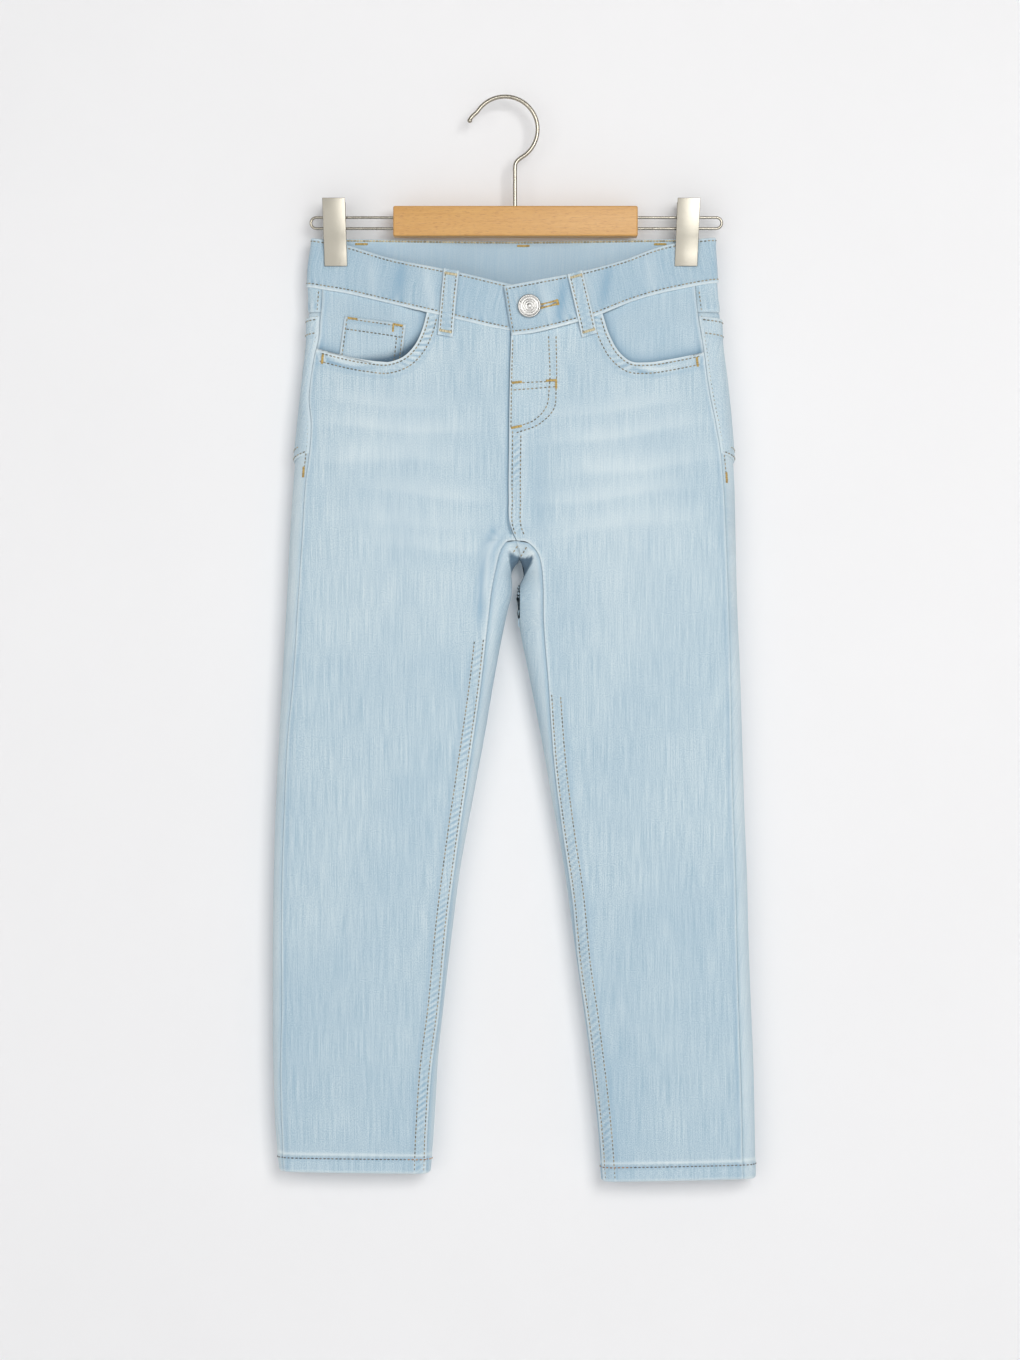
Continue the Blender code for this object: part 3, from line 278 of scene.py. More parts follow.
def quarter_round(inset, rounding):
    """The square of a round edge's height, 0 at the edge and 1 from its rounding on."""
    share = np.minimum(inset / rounding, 1.0)
    return share * (2 - share)


def gap_inset(x, drop):
    """How far a place is from the gap between the legs."""
    below = np.where(
        x < APEX_X, smooth(LEG_GAP, "left", drop) - x, x - smooth(LEG_GAP, "right", drop)
    )
    above = np.hypot(x - APEX_X, APEX_DROP - drop)
    return np.where(drop > APEX_DROP, below, above)


def depth_squared(x, drop):
    """The square of the skin's distance from the middle plane; it falls below 0 outside the outline."""
    left, right = edge_x("left", drop), edge_x("right", drop)
    body = np.clip((2 * x - left - right) / (right - left), -1, 1)
    on_left = x < APEX_X
    outer = np.where(on_left, left, right)
    inner = np.where(on_left, smooth(LEG_GAP, "left", drop), smooth(LEG_GAP, "right", drop))
    leg = np.clip((2 * x - outer - inner) / np.abs(outer - inner), -1, 1)
    crown = smooth(DEPTH, "body_crown", drop) * (1 - body**2) ** smooth(DEPTH, "sharpness", drop)
    crown += smooth(DEPTH, "leg_crown", drop) * (1 - leg**2)
    half = smooth(DEPTH, "edge", drop) + crown
    rounding = smooth(DEPTH, "rounding", drop)
    outside = quarter_round(np.minimum(x - left, right - x), rounding)
    between = quarter_round(gap_inset(x, drop), rounding)
    return half**2 * outside * np.where(outside < 0, 1, between)


def fold_height(x, drop, face):
    """The folds' height above the plain skin."""
    height = np.zeros(np.broadcast(x, drop, face).shape)
    for fold in zip(*FOLDS.values()):
        place, level, length, width, lean, rise, on_face = fold
        along = (drop - level) / length
        across = (x - place - lean * along) / width
        fade = np.where(np.abs(along) < 1, np.cos(along * math.pi / 2) ** 2, 0)
        height += np.where(face == on_face, rise * fade * np.exp(-(across**2)), 0)
    return height


def skin(x, drop, face, level):
    """Points level outside the skin, at these places of the front (face -1) or the back (face 1)."""
    x, drop, face, level = np.broadcast_arrays(x, drop, face, level)
    step = 0.05
    depth = np.sqrt(np.maximum(depth_squared(x, drop), 0))
    normal = np.stack(
        [
            -(depth_squared(x + step, drop) - depth_squared(x - step, drop)) / (2 * step),
            2 * face * depth,
            (depth_squared(x, drop + step) - depth_squared(x, drop - step)) / (2 * step),
        ],
        axis=-1,
    )
    normal /= np.linalg.norm(normal, axis=-1, keepdims=True)
    place = np.stack([x, face * depth, WAIST_Z - drop], axis=-1)
    fullness = ease((depth - 3.0) / 5.0)
    return place + normal * (level + fullness * fold_height(x, drop, face))[..., None]


# %% [markdown]
# ## Seams as lines
# A seam, a pocket's edge or a row of stitches is a line on the flat cloth. The helpers below space points
# evenly along such a line, round its corners, move it aside by a seam's width, and say how far any place is
# from it. The last one is what lets a pucker or a faded ridge follow a curved seam exactly.

# %% Lines on the cloth
def points_of(rows):
    return np.stack([rows["x"], rows["drop"]], axis=-1)


def spaced(points, count):
    """Points at equal distances along a line of points."""
    lengths = np.linalg.norm(np.diff(points, axis=0), axis=1)
    along = np.concatenate([[0], np.cumsum(lengths)])
    at = np.linspace(0, along[-1], count)
    return np.stack([np.interp(at, along, column) for column in points.T], axis=-1)


def rounded(points, count=80):
    """A smooth curve through a short list of points."""
    lengths = np.linalg.norm(np.diff(points, axis=0), axis=1)
    rows = {"along": np.concatenate([[0], np.cumsum(lengths)])}
    rows["x"], rows["drop"] = points.T
    at = np.linspace(0, rows["along"][-1], count)
    return np.stack([smooth(rows, name, at, "along") for name in ("x", "drop")], axis=-1)


def moved_aside(points, distance):
    """The line moved to its left by distance, with its corners kept."""
    along = np.diff(points, axis=0)
    along /= np.linalg.norm(along, axis=1, keepdims=True)
    across = np.stack([along[:, 1], -along[:, 0]], axis=-1)
    first = np.vstack([across[:1], across])
    second = np.vstack([across, across[-1:]])
    bend = 1 + np.sum(first * second, axis=1, keepdims=True)
    return points + distance * (first + second) / np.maximum(bend, 0.3)


def between_drops(points, top, bottom):
    """The stretch of a line that goes down from one drop to another."""
    inside = points[(points[:, 1] > top) & (points[:, 1] < bottom)]
    ends = [[np.interp(drop, points[:, 1], points[:, 0]), drop] for drop in (top, bottom)]
    return np.vstack([ends[0], inside, ends[1]])


def seam_line(rows, column, top, bottom, count=60):
    drop = np.linspace(top, bottom, count)
    return np.stack([smooth(rows, column, drop), drop], axis=-1)


def hem_drop(side, x):
    """The drop of a leg's lower edge."""
    return np.interp(x, *HEM_LINES[side])


def near(line, x, drop, chunk=4096):
    """How far places are to the left of a line going down it, and how far along it they are."""
    line = spaced(line, int(np.linalg.norm(np.diff(line, axis=0), axis=1).sum()) + 2)
    step = np.diff(line, axis=0)
    length = np.linalg.norm(step, axis=1)
    start = np.concatenate([[0], np.cumsum(length)])
    tangent = np.gradient(line, axis=0)
    tangent /= np.linalg.norm(tangent, axis=1, keepdims=True)
    places = np.stack([np.ravel(x), np.ravel(drop)], axis=-1)
    aside, along = np.empty(len(places)), np.empty(len(places))
    for first in range(0, len(places), chunk):
        some = places[first : first + chunk]
        away = some[:, None, :] - line[None]
        closest = np.argmin(np.sum(away**2, axis=-1), axis=1)
        offset = away[np.arange(len(some)), closest]
        way = tangent[closest]
        past = np.sum(offset * way, axis=1)
        straight = offset[:, 0] * way[:, 1] - offset[:, 1] * way[:, 0]
        inside = (closest > 0) & (closest < len(line) - 1)
        sign = np.where(straight < 0, -1, 1)
        aside[first : first + chunk] = np.where(inside, straight, sign * np.hypot(*offset.T))
        along[first : first + chunk] = start[closest] + past
    return aside.reshape(np.shape(x)), along.reshape(np.shape(x))


def hump(value, middle, width):
    """1 at the middle, falling softly to 0 on both sides."""
    return np.exp(-(((value - middle) / width) ** 2))


def ripple(along, pitch, seed):
    """Uneven waves along a seam, from -1 to 1, as stitching draws cloth up."""
    along = np.asarray(along, float)
    drift = 1.3 * np.sin(along / (pitch * 2.3) + seed) + 1.1 * np.sin(along / (pitch * 4.1) + 2.3 * seed)
    size = 0.6 + 0.4 * np.sin(along / (pitch * 2.2) + 1.7 * seed)
    return size * np.sin(math.tau * along / pitch + drift)


def tops(waves):
    """Only what stands proud."""
    return np.maximum(waves, 0)


def hollows(waves):
    """Only what lies deep."""
    return np.maximum(-waves, 0)


print("the crossing seam is at drop", CROSS_DROP, "and the gap between the legs starts at", APEX_DROP)

# %% [markdown]
# ## A wall of cloth
# Denim is a sheet about 1.2 mm thick. A plane with a Solidify modifier would do for one panel, but here
# each wall must stop 0.3 mm short of its neighbour and roll over at its edges. So a grid is made with the
# grid operator, pushed out into a closed wall with the extrude operator, and its points are then laid at
# their places: half outside, half inside, and closer together within half a millimetre of an edge.

# %% Sewing one wall
ROLL = 0.6
EDGE_STEPS = np.array([0, 0.15, 0.4, 0.8, 1.4, 2.1, 2.9, 3.8, 4.8, 5.9, 7.0, 8.1, 9.4])
SHORT_STEPS = EDGE_STEPS[:5]
counts = {}
sewn = {}


def shares(width, first, last, middle):
    """How far across each row its columns are: close together at the ends, even in between."""
    width = np.reshape(np.asarray(width, float), (-1, 1))
    start, end = first[-1] / width, 1 - last[-1] / width
    even = start + (end - start) * np.linspace(0, 1, middle + 2)[1:-1]
    return np.hstack([first / width, even, 1 - last[::-1] / width])


def cloth_lengths(x, drop, face):
    """Distances on the cloth across its rows and down its columns, in millimetres."""
    place = skin(x, drop, face, 0.0)
    across = np.linalg.norm(np.diff(place, axis=1), axis=-1)
    down = np.linalg.norm(np.diff(place, axis=0), axis=-1)
    across = np.hstack([np.zeros((len(x), 1)), np.cumsum(across, axis=1)])
    down = np.vstack([np.zeros((1, x.shape[1])), np.cumsum(down, axis=0)])
    return across, down


def closed_grid(rows, columns):
    """A grid of faces pushed out into a closed wall; the new side's points are marked as inner."""
    bm = bmesh.new()
    inner = bm.verts.layers.int.new("inner")
    bmesh.ops.create_grid(bm, x_segments=columns - 1, y_segments=rows - 1, size=0.5)
    grown = bmesh.ops.extrude_face_region(bm, geom=bm.faces[:])["geom"]
    for item in grown:
        if isinstance(item, bmesh.types.BMVert):
            item[inner] = 1
    return bm


def read(items, name, width, kind=np.float32):
    """One property of many mesh items at once."""
    values = np.empty(len(items) * width, kind)
    items.foreach_get(name, values)
    return values.reshape(-1, width) if width > 1 else values


def laid(name, shape, outside, inside):
    """A mesh wall with its two sides laid on two grids of points, its faces pointing out."""
    rows, columns = shape
    bm = closed_grid(rows, columns)
    mesh = bpy.data.meshes.new(name)
    bm.to_mesh(mesh)
    flat = read(mesh.vertices, "co", 3)
    row = np.rint((flat[:, 1] + 0.5) * (rows - 1)).astype(int)
    column = np.rint((flat[:, 0] + 0.5) * (columns - 1)).astype(int)
    inner = read(mesh.attributes["inner"].data, "value", 1, np.int32) > 0
    place = np.where(inner[:, None], inside[row, column], outside[row, column])
    for vert, spot in zip(bm.verts, place):
        vert.co = spot
    bmesh.ops.recalc_face_normals(bm, faces=bm.faces[:])
    if bm.calc_volume(signed=True) < 0:
        bmesh.ops.reverse_faces(bm, faces=bm.faces[:])
    bm.to_mesh(mesh)
    bm.free()
    return mesh, row, column, inner


def sew(node, lattice, level, thickness, wash_and_shade=None, looks=None):
    """A finished piece of cloth: its wall, its colour attribute, its UV map in metres and its materials."""
    name = f"{node}_cloth"
    x, drop, face, level = (np.broadcast_to(values, lattice[0].shape) for values in (*lattice, level))
    sewn[node] = x, drop, face, level
    across, down = cloth_lengths(x, drop, face)
    rim = np.minimum(np.minimum(across, across[:, -1:] - across), np.minimum(down, down[-1:] - down))
    thickness = np.broadcast_to(thickness, x.shape)
    rolled = np.sqrt(np.maximum(1 - (1 - np.minimum(rim / ROLL, 1)) ** 2, 0.05))
    half = thickness / 2 * rolled
    middle = level - thickness / 2
    outside = skin(x, drop, face, middle + half) * MM
    inside = skin(x, drop, face, middle - half) * MM
    mesh, row, column, inner = laid(name, x.shape, outside, inside)
    corner = read(mesh.loops, "vertex_index", 1, np.int32)
    centre = x.shape[1] // 2
    along = (across - across[:, centre : centre + 1] + x[:, centre : centre + 1]) * MM
    if np.all(face < 0):
        along = x * MM
    uv = np.stack([along[row, column], -drop[row, column] * MM], axis=-1)
    mesh.uv_layers.new(name="cloth").data.foreach_set("uv", uv[corner].ravel())
    colour = np.zeros((len(row), 4), np.float32)
    colour[:, 3] = 1
    if wash_and_shade is not None:
        colour[:, :3] = np.stack([np.broadcast_to(part, x.shape) for part in wash_and_shade], -1)[row, column]
    tint = mesh.color_attributes.new("wash_and_shade", "FLOAT_COLOR", "POINT")
    tint.data.foreach_set("color", colour.ravel())
    for look in looks or DENIM:
        mesh.materials.append(look)
    hidden = inner[corner].reshape(-1, 4).all(axis=1)
    mesh.polygons.foreach_set("material_index", hidden.astype(np.int32))
    mesh.attributes.remove(mesh.attributes["inner"])
    mesh.shade_smooth()
    counts[name] = len(mesh.polygons) * 2
    dress(linked(name, mesh), "denim", node)


def dress(piece, slot, *nodes):
    """Says what a piece rides on and which solids it stands for; its slot is not used."""
    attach(piece, BODY)
    if nodes:
        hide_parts(*nodes)
    return piece


print("an edge rolls over within", ROLL, "mm and its columns start at", EDGE_STEPS[:4], "mm")

# %% [markdown]
# ## The waistband's edges come first
# The panels hang from the waistband's lower edge, so its line has to be known before any panel is cut. It
# is read station by station from the flap's end round the waist to the button end, and the stations close
# up where the band turns at the sides.

# %% The waistband's stations
RIGHT_STATIONS, LEFT_STATIONS = 76, 86
TURN_STATIONS = 16
BACK_STATIONS = 90
TURN_REACH = 15.0
# Where the flap starts to rise and the button end to sink under it, and over how many millimetres.
FLAP_FOOT_X, FLAP_SLOPE = 50.0, 26.0
UNDERLAP_X, UNDERLAP_SLOPE = -30.0, 16.0


def ring_stations(rows, count):
    """The waistband's edges at equal steps of its table's rows."""
    rows = dict(rows, station=np.arange(len(rows["top_x"]), dtype=float))
    at = np.linspace(0, rows["station"][-1], count)
    names = ("top_x", "top_drop", "bottom_x", "bottom_drop")
    return np.stack([smooth(rows, name, at, "station") for name in names], axis=-1)


def at_insets(side, top_drop, bottom_drop, top_inset, bottom_inset):
    """Stations whose two ends lie these distances in from the silhouette."""
    top_x = edge_x(side, top_drop) - SIDES[side] * top_inset
    bottom_x = edge_x(side, bottom_drop) - SIDES[side] * bottom_inset
    return np.stack([top_x, top_drop, bottom_x, bottom_drop], axis=-1)


def corner_stations(side, start, count):
    """From a front station to the silhouette: closer and closer together as the band turns."""
    sign = SIDES[side]
    top, bottom = BAND_CORNERS[side]
    share = (1 - np.arange(1, count + 1) / count) ** 2
    top_inset = sign * (edge_x(side, start[1]) - start[0]) * share
    bottom_inset = sign * (edge_x(side, start[3]) - start[2]) * share
    drops = top + (start[1] - top) * share, bottom + (start[3] - bottom) * share
    return at_insets(side, *drops, top_inset, bottom_inset)


def band_back(side, start, count):
    """The same turn on the back, from the silhouette to the straight stretch."""
    top, bottom = BAND_CORNERS[side]
    share = (np.arange(1, count + 1) / count) ** 2
    drops = top * (1 - share), bottom + (BAND_HEIGHT - bottom) * share
    return at_insets(side, *drops, start * share, start * share)


def band_ring():
    """The waistband's stations all round, with their faces and how far each lies from the skin."""
    right = ring_stations(BAND_FRONT_RIGHT, RIGHT_STATIONS)
    left = ring_stations(BAND_FRONT_LEFT, LEFT_STATIONS)
    right_turn = corner_stations("right", right[-1], TURN_STATIONS)
    left_turn = corner_stations("left", left[0], TURN_STATIONS)[::-1]
    back_right = band_back("right", TURN_REACH, TURN_STATIONS)
    back_left = band_back("left", TURN_REACH, TURN_STATIONS)[::-1]
    middle_x = np.linspace(back_right[-1][0], back_left[0][0], BACK_STATIONS)[1:-1]
    lower_x = np.linspace(back_right[-1][2], back_left[0][2], BACK_STATIONS)[1:-1]
    flat = np.zeros(len(middle_x))
    middle = np.stack([middle_x, flat, lower_x, flat + BAND_HEIGHT], axis=-1)
    groups = [
        (right, -1),
        (right_turn, -1),
        (back_right, 1),
        (middle, 1),
        (back_left, 1),
        (left_turn, -1),
        (left, -1),
    ]
    ring = np.vstack([rows for rows, _ in groups])
    face = np.concatenate([np.full(len(rows), side) for rows, side in groups])
    lift = np.zeros(len(ring))
    first = slice(0, len(right))
    lift[first] = flap_lift(right[:, 0])
    last = slice(len(ring) - len(left), len(ring))
    lift[last] = -UNDERLAP_SINK * ease((left[:, 0] - UNDERLAP_X) / UNDERLAP_SLOPE)
    return ring, face, lift


def flap_lift(top_x):
    """How far the waistband's flap stands off the band beneath it."""
    return FLAP_RISE * ease((FLAP_FOOT_X - top_x) / FLAP_SLOPE)


def band_lower_edge(side, x, face):
    """The drop of the waistband's lower edge, above one half of the front or the back."""
    if face > 0:
        corner = BAND_CORNERS[side][1]
        inset = np.abs(edge_x(side, corner) - x)
        return corner + (BAND_HEIGHT - corner) * np.minimum(inset / TURN_REACH, 1)
    if side == "right":
        stations = ring_stations(BAND_FRONT_RIGHT, RIGHT_STATIONS)
        stations = np.vstack([stations, corner_stations("right", stations[-1], TURN_STATIONS)])
    else:
        stations = ring_stations(BAND_FRONT_LEFT, LEFT_STATIONS)
        stations = np.vstack([corner_stations("left", stations[0], TURN_STATIONS)[::-1], stations])
    return np.interp(x, stations[:, 2], stations[:, 3])


def pocket_edge(side):
    rows = {"left": POCKET_EDGE_LEFT, "right": POCKET_EDGE_RIGHT}[side]
    return rounded(points_of(rows))


print("waistband stations:", len(band_ring()[0]))

# %% [markdown]
# ## Washed denim
# Denim is a twill: blue warp threads over white weft, so close up it shows fine diagonal ribs, and from a
# step away it shows thin vertical streaks where one warp thread is bluer or thicker than the next. Washing
# takes the blue off everything that stands proud. An image texture would fix this at one size, so it is
# built from waves and stretched noise over the cloth's own map, and from a painted colour attribute: red
# where the cloth is rubbed pale and where highlights are painted, green where it has kept more blue and
# where shade is painted in creases and beside seams, blue where shade and shadow are painted in.

# %% Shader helpers
def group(name, inputs, outputs):
    """An empty shader group with named sockets; gives the group, its input and its output node."""
    tree = bpy.data.node_groups.new(name, "ShaderNodeTree")
    for way, sockets in (("INPUT", inputs), ("OUTPUT", outputs)):
        for socket, kind in sockets.items():
            tree.interface.new_socket(name=socket, in_out=way, socket_type=kind)
    return tree, tree.nodes.new("NodeGroupInput"), tree.nodes.new("NodeGroupOutput")


def add(tree, kind, inputs=None, **settings):
    """A node with its settings and its inputs, each a value or another node's output."""
    node = tree.nodes.new(kind)
    for name, value in settings.items():
        setattr(node, name, value)
    for name, value in (inputs or {}).items():
        if isinstance(value, bpy.types.NodeSocket):
            tree.links.new(value, node.inputs[name])
        else:
            node.inputs[name].default_value = value
    return node


def maths(tree, operation, first, second=0.0, third=None):
    """One sum on two or three numbers, each a value or another node's output."""
    inputs = {0: first, 1: second} if third is None else {0: first, 1: second, 2: third}
    return add(tree, "ShaderNodeMath", inputs, operation=operation).outputs[0]


def blended(tree, factor, first, second):
    """A mix of two colours."""
    inputs = {0: factor, 6: first, 7: second}
    return add(tree, "ShaderNodeMix", inputs, data_type="RGBA").outputs[2]


def stretched_noise(tree, place, size, detail=2.0, roughness=0.5):
    """Noise whose grains are size millimetres along each direction, from 0 to 1."""
    scale = [1 / (part * MM) for part in size]
    mapped = add(tree, "ShaderNodeMapping", {"Vector": place, "Scale": scale})
    inputs = {"Vector": mapped.outputs[0], "Scale": 1.0, "Detail": detail, "Roughness": roughness}
    return add(tree, "ShaderNodeTexNoise", inputs).outputs["Fac"]


def new_look(name):
    """An empty material: itself, its tree, its Principled node and its texture coordinates."""
    made = bpy.data.materials.new(name)
    made.use_nodes = True
    tree = made.node_tree
    return made, tree, tree.nodes["Principled BSDF"], tree.nodes.new("ShaderNodeTexCoord").outputs


def ranged(tree, value, target, source=(0.0, 1.0)):
    """A value spread from one range to another."""
    inputs = {"Value": value, "From Min": source[0], "From Max": source[1], "To Min": target[0],
              "To Max": target[1]}
    return add(tree, "ShaderNodeMapRange", inputs).outputs[0]


def surfaced(tree, shader, colour, relief, strength, distance, rough):
    """A colour, a bump from relief of a distance in metres, and a roughness from relief too."""
    tree.links.new(colour, shader.inputs["Base Color"])
    raised = add(tree, "ShaderNodeBump", {"Height": relief, "Strength": strength, "Distance": distance})
    tree.links.new(raised.outputs[0], shader.inputs["Normal"])
    tree.links.new(ranged(tree, relief, rough), shader.inputs["Roughness"])


TWILL_PITCH, TWILL_SLOPE = 0.62, 0.9


def build_twill():
    """The weave: its height, its fine streaks and its cloudy wear, from the cloth's map in metres."""
    tree, source, result = group(
        "twill_weave",
        dict.fromkeys(("Map", "Object"), "NodeSocketVector"),
        dict.fromkeys(("Height", "Streaks", "Cloud", "Flecks"), "NodeSocketFloat"),
    )
    place = source.outputs["Map"]
    parts = add(tree, "ShaderNodeSeparateXYZ", {0: place})
    turn = math.tau / (TWILL_PITCH * MM)
    slant = maths(tree, "ADD", parts.outputs["X"], maths(tree, "MULTIPLY", parts.outputs["Y"], TWILL_SLOPE))
    rib = maths(tree, "SINE", maths(tree, "MULTIPLY", slant, turn))
    warp = maths(tree, "SINE", maths(tree, "MULTIPLY", parts.outputs["X"], turn * 1.35))
    thread = stretched_noise(tree, place, (0.35, 5.0, 1.0))
    height = maths(tree, "MULTIPLY_ADD", rib, 0.32, 0.5)
    height = maths(tree, "ADD", height, maths(tree, "MULTIPLY", warp, 0.12))
    height = maths(tree, "ADD", height, maths(tree, "MULTIPLY", maths(tree, "SUBTRACT", thread, 0.5), 0.9))
    fine = stretched_noise(tree, place, (0.6, 30.0, 1.0), 3.0, 0.62)
    grain = stretched_noise(tree, place, (0.65, 0.8, 1.0), 2.0, 0.6)
    broad = stretched_noise(tree, place, (2.6, 60.0, 1.0), 2.0, 0.5)
    slower = maths(tree, "MULTIPLY_ADD", grain, 0.54, maths(tree, "MULTIPLY", broad, 0.1))
    streaks = maths(tree, "MULTIPLY_ADD", fine, 0.36, slower)
    cloud = stretched_noise(tree, source.outputs["Object"], (55.0, 55.0, 80.0), 4.0, 0.6)
    flecks = stretched_noise(tree, place, (1.6, 0.5, 1.0), 2.0, 0.6)
    for name, value in (("Height", height), ("Streaks", streaks), ("Cloud", cloud), ("Flecks", flecks)):
        tree.links.new(value, result.inputs[name])
    return tree


twill = build_twill()


def linear(red, green, blue):
    """A screen colour given from 0 to 255, as a shader wants it."""
    return tuple(((part / 255 + 0.055) / 1.055) ** 2.4 for part in (red, green, blue)) + (1.0,)


def denim_look(name, body, pale, deep, painted_shade, streak_range, bump):
    """A washed denim: its colours, how strongly its threads streak and how deep its ribs are."""
    made, tree, shader, coordinates = new_look(name)
    weave = add(tree, "ShaderNodeGroup", node_tree=twill)
    tree.links.new(coordinates["UV"], weave.inputs["Map"])
    tree.links.new(coordinates["Object"], weave.inputs["Object"])
    wash_and_shade = add(tree, "ShaderNodeAttribute", attribute_name="wash_and_shade")
    channels = add(tree, "ShaderNodeSeparateColor", {0: wash_and_shade.outputs["Color"]})
    streak = ranged(tree, weave.outputs["Streaks"], streak_range, (0.425, 0.575))
    colour = blended(tree, streak, body, pale)
    for channel, tint in (("Green", deep), ("Red", pale), ("Blue", painted_shade)):
        colour = blended(tree, channels.outputs[channel], colour, tint)
    cloud = ranged(tree, weave.outputs["Cloud"], (0.0, 0.3), (0.35, 0.75))
    colour = blended(tree, cloud, colour, deep)
    fleck = ranged(tree, weave.outputs["Flecks"], (0.0, 0.4), (0.62, 0.8))
    colour = blended(tree, fleck, colour, pale)
    surfaced(tree, shader, colour, weave.outputs["Height"], bump, 0.00012, (0.92, 0.8))
    shader.inputs["Sheen Weight"].default_value = 0.12
    shader.inputs["Sheen Roughness"].default_value = 0.5
    shader.inputs["Specular IOR Level"].default_value = 0.25
    return made


# The darkest colour of each denim is the tone used for painted shade and shadow.
washed_denim = denim_look(
    "washed_denim",
    body=linear(160, 188, 204),
    pale=linear(224, 235, 238),
    deep=linear(140, 174, 197),
    painted_shade=linear(78, 100, 118),
    streak_range=(0.0, 0.75),
    bump=0.55,
)
wrong_side = denim_look(
    "denim_wrong_side",
    body=linear(180, 209, 227),
    pale=linear(222, 234, 240),
    deep=linear(150, 178, 197),
    painted_shade=linear(120, 138, 150),
    streak_range=(0.1, 0.6),
    bump=0.5,
)
DENIM = (washed_denim, wrong_side)
print("denim materials:", [look.name for look in DENIM])

# %% [markdown]
# ## Where the cloth is drawn up and rubbed
# Each seam on jeans is several layers folded and stitched through. The stitching draws the cloth up into
# small puckers, and washing rubs their tops pale and leaves their hollows blue: this rope effect is what
# makes jeans look real. The functions below give, for any place on a front, how far the cloth is raised,
# how it is washed, and where shade, shadow and highlights are painted onto its colour. The mesh, its
# colours and the stitches all ask the same functions.

# %% Seam lines shared by neighbouring panels
INSEAMS = {"left": rounded(points_of(INSEAM_LEFT), 240), "right": rounded(points_of(INSEAM_RIGHT), 240)}
FELL_START = {"left": 285.0, "right": 325.0}
FELL_WIDTH = 8.6
POCKETS = {side: pocket_edge(side) for side in SIDES}
FLY_RISE, FLY_OVERLAP = 1.45, 1.2
FLY_FADE_DROP, FLY_FADE = 196.0, 18.0
FLY_OUTER = np.array(
    [(29.7, 60), (29.7, 110.9), (28.3, 124.7), (17.8, 135.9), (8.0, 140.8), (0.4, 142.8), (-3.6, 143.4)]
)
# Below these drops the fly's arc, the pocket's edge and the centre seam no longer mark the cloth.
FLY_ARC_DROP, POCKET_DROP, CENTRE_SEAM_DROP = 146, 104, 216

# Folds fanning down from the crotch on the left thigh: the line of each and its height.
CROTCH_FOLDS = (
    (np.array([(-12, 206), (-17, 217), (-22, 229), (-23.2, 241), (-24.3, 259), (-26.7, 290)]), -0.75),
    (np.array([(-6, 210), (-11, 215), (-17, 224), (-19.8, 232), (-20.7, 247), (-23.1, 275)]), 0.6),
    (np.array([(-5, 211), (-8.7, 214.2), (-13.5, 222), (-17, 231), (-17.9, 246)]), -0.5),
)

# Pale whisker lines across the thighs: middle, half length, half width, slope and strength.
WHISKERS = table(
    "x drop length width slope strength",
    (-96, 120, 40, 4.0, 0.08, 0.34),
    (-84, 138, 56, 5.0, 0.05, 0.50),
    (-96, 160, 50, 6.5, 0.02, 0.42),
    (-60, 186, 44, 5.0, 0.08, 0.44),
    (-70, 206, 54, 7.0, 0.04, 0.30),
    (-58, 224, 40, 5.5, 0.06, 0.34),
    (74, 124, 48, 4.4, -0.10, 0.40),
    (80, 142, 56, 5.0, -0.12, 0.52),
    (88, 166, 56, 6.5, -0.10, 0.50),
    (70, 187, 54, 5.0, -0.10, 0.42),
    (78, 208, 56, 6.5, -0.14, 0.36),
)
THIGH_MIDDLES = (-82, 84)


def whiskers(x, drop):
    """How pale the whisker lines and the thighs' broad fade make a place on the front."""
    pale = np.zeros(np.shape(x))
    for line in zip(*WHISKERS.values()):
        middle_x, middle_drop, length, width, slope, strength = line
        across = (x - middle_x) / length
        level = middle_drop + slope * (x - middle_x) + 1.6 * np.sin(x / 17 + middle_drop)
        below = drop - level
        shape = np.where(below < 0, hump(below, 0, width * 1.7), hump(below, 0, width * 0.6))
        pale += 0.7 * strength * np.exp(-(across**4)) * shape
    for middle in THIGH_MIDDLES:
        pale += 0.22 * hump(x, middle, 50) * hump(drop, 190, 120)
    return pale


def hem_puckers(side, x, drop):
    """The drawn cloth at a leg's turned-up hem: its rise, how deep its hollows are and how pale its edges are.
    """
    above = hem_drop(side, x) - HEM_HEIGHT - drop
    waves = ripple(x + 0.7 * above * (side == "right"), 5.4, 3.0)
    zone = np.where(above > 0, np.exp(-above / 3.4), np.exp(above / 9.0))
    # The pale ridge over the hem and the pale bottom fold are partly worn and partly a painted highlight.
    rim = 0.75 * hump(above, 1.6, 1.1) + 0.8 * hump(above + HEM_HEIGHT, 0.4, 1.0)
    deep = zone * hollows(waves) * 0.4 + 0.35 * hump(above, -1.8, 1.2)
    return 0.2 * waves * zone + 0.3 * hump(above, 1.6, 1.4), deep, zone * tops(waves) * 0.3 + rim


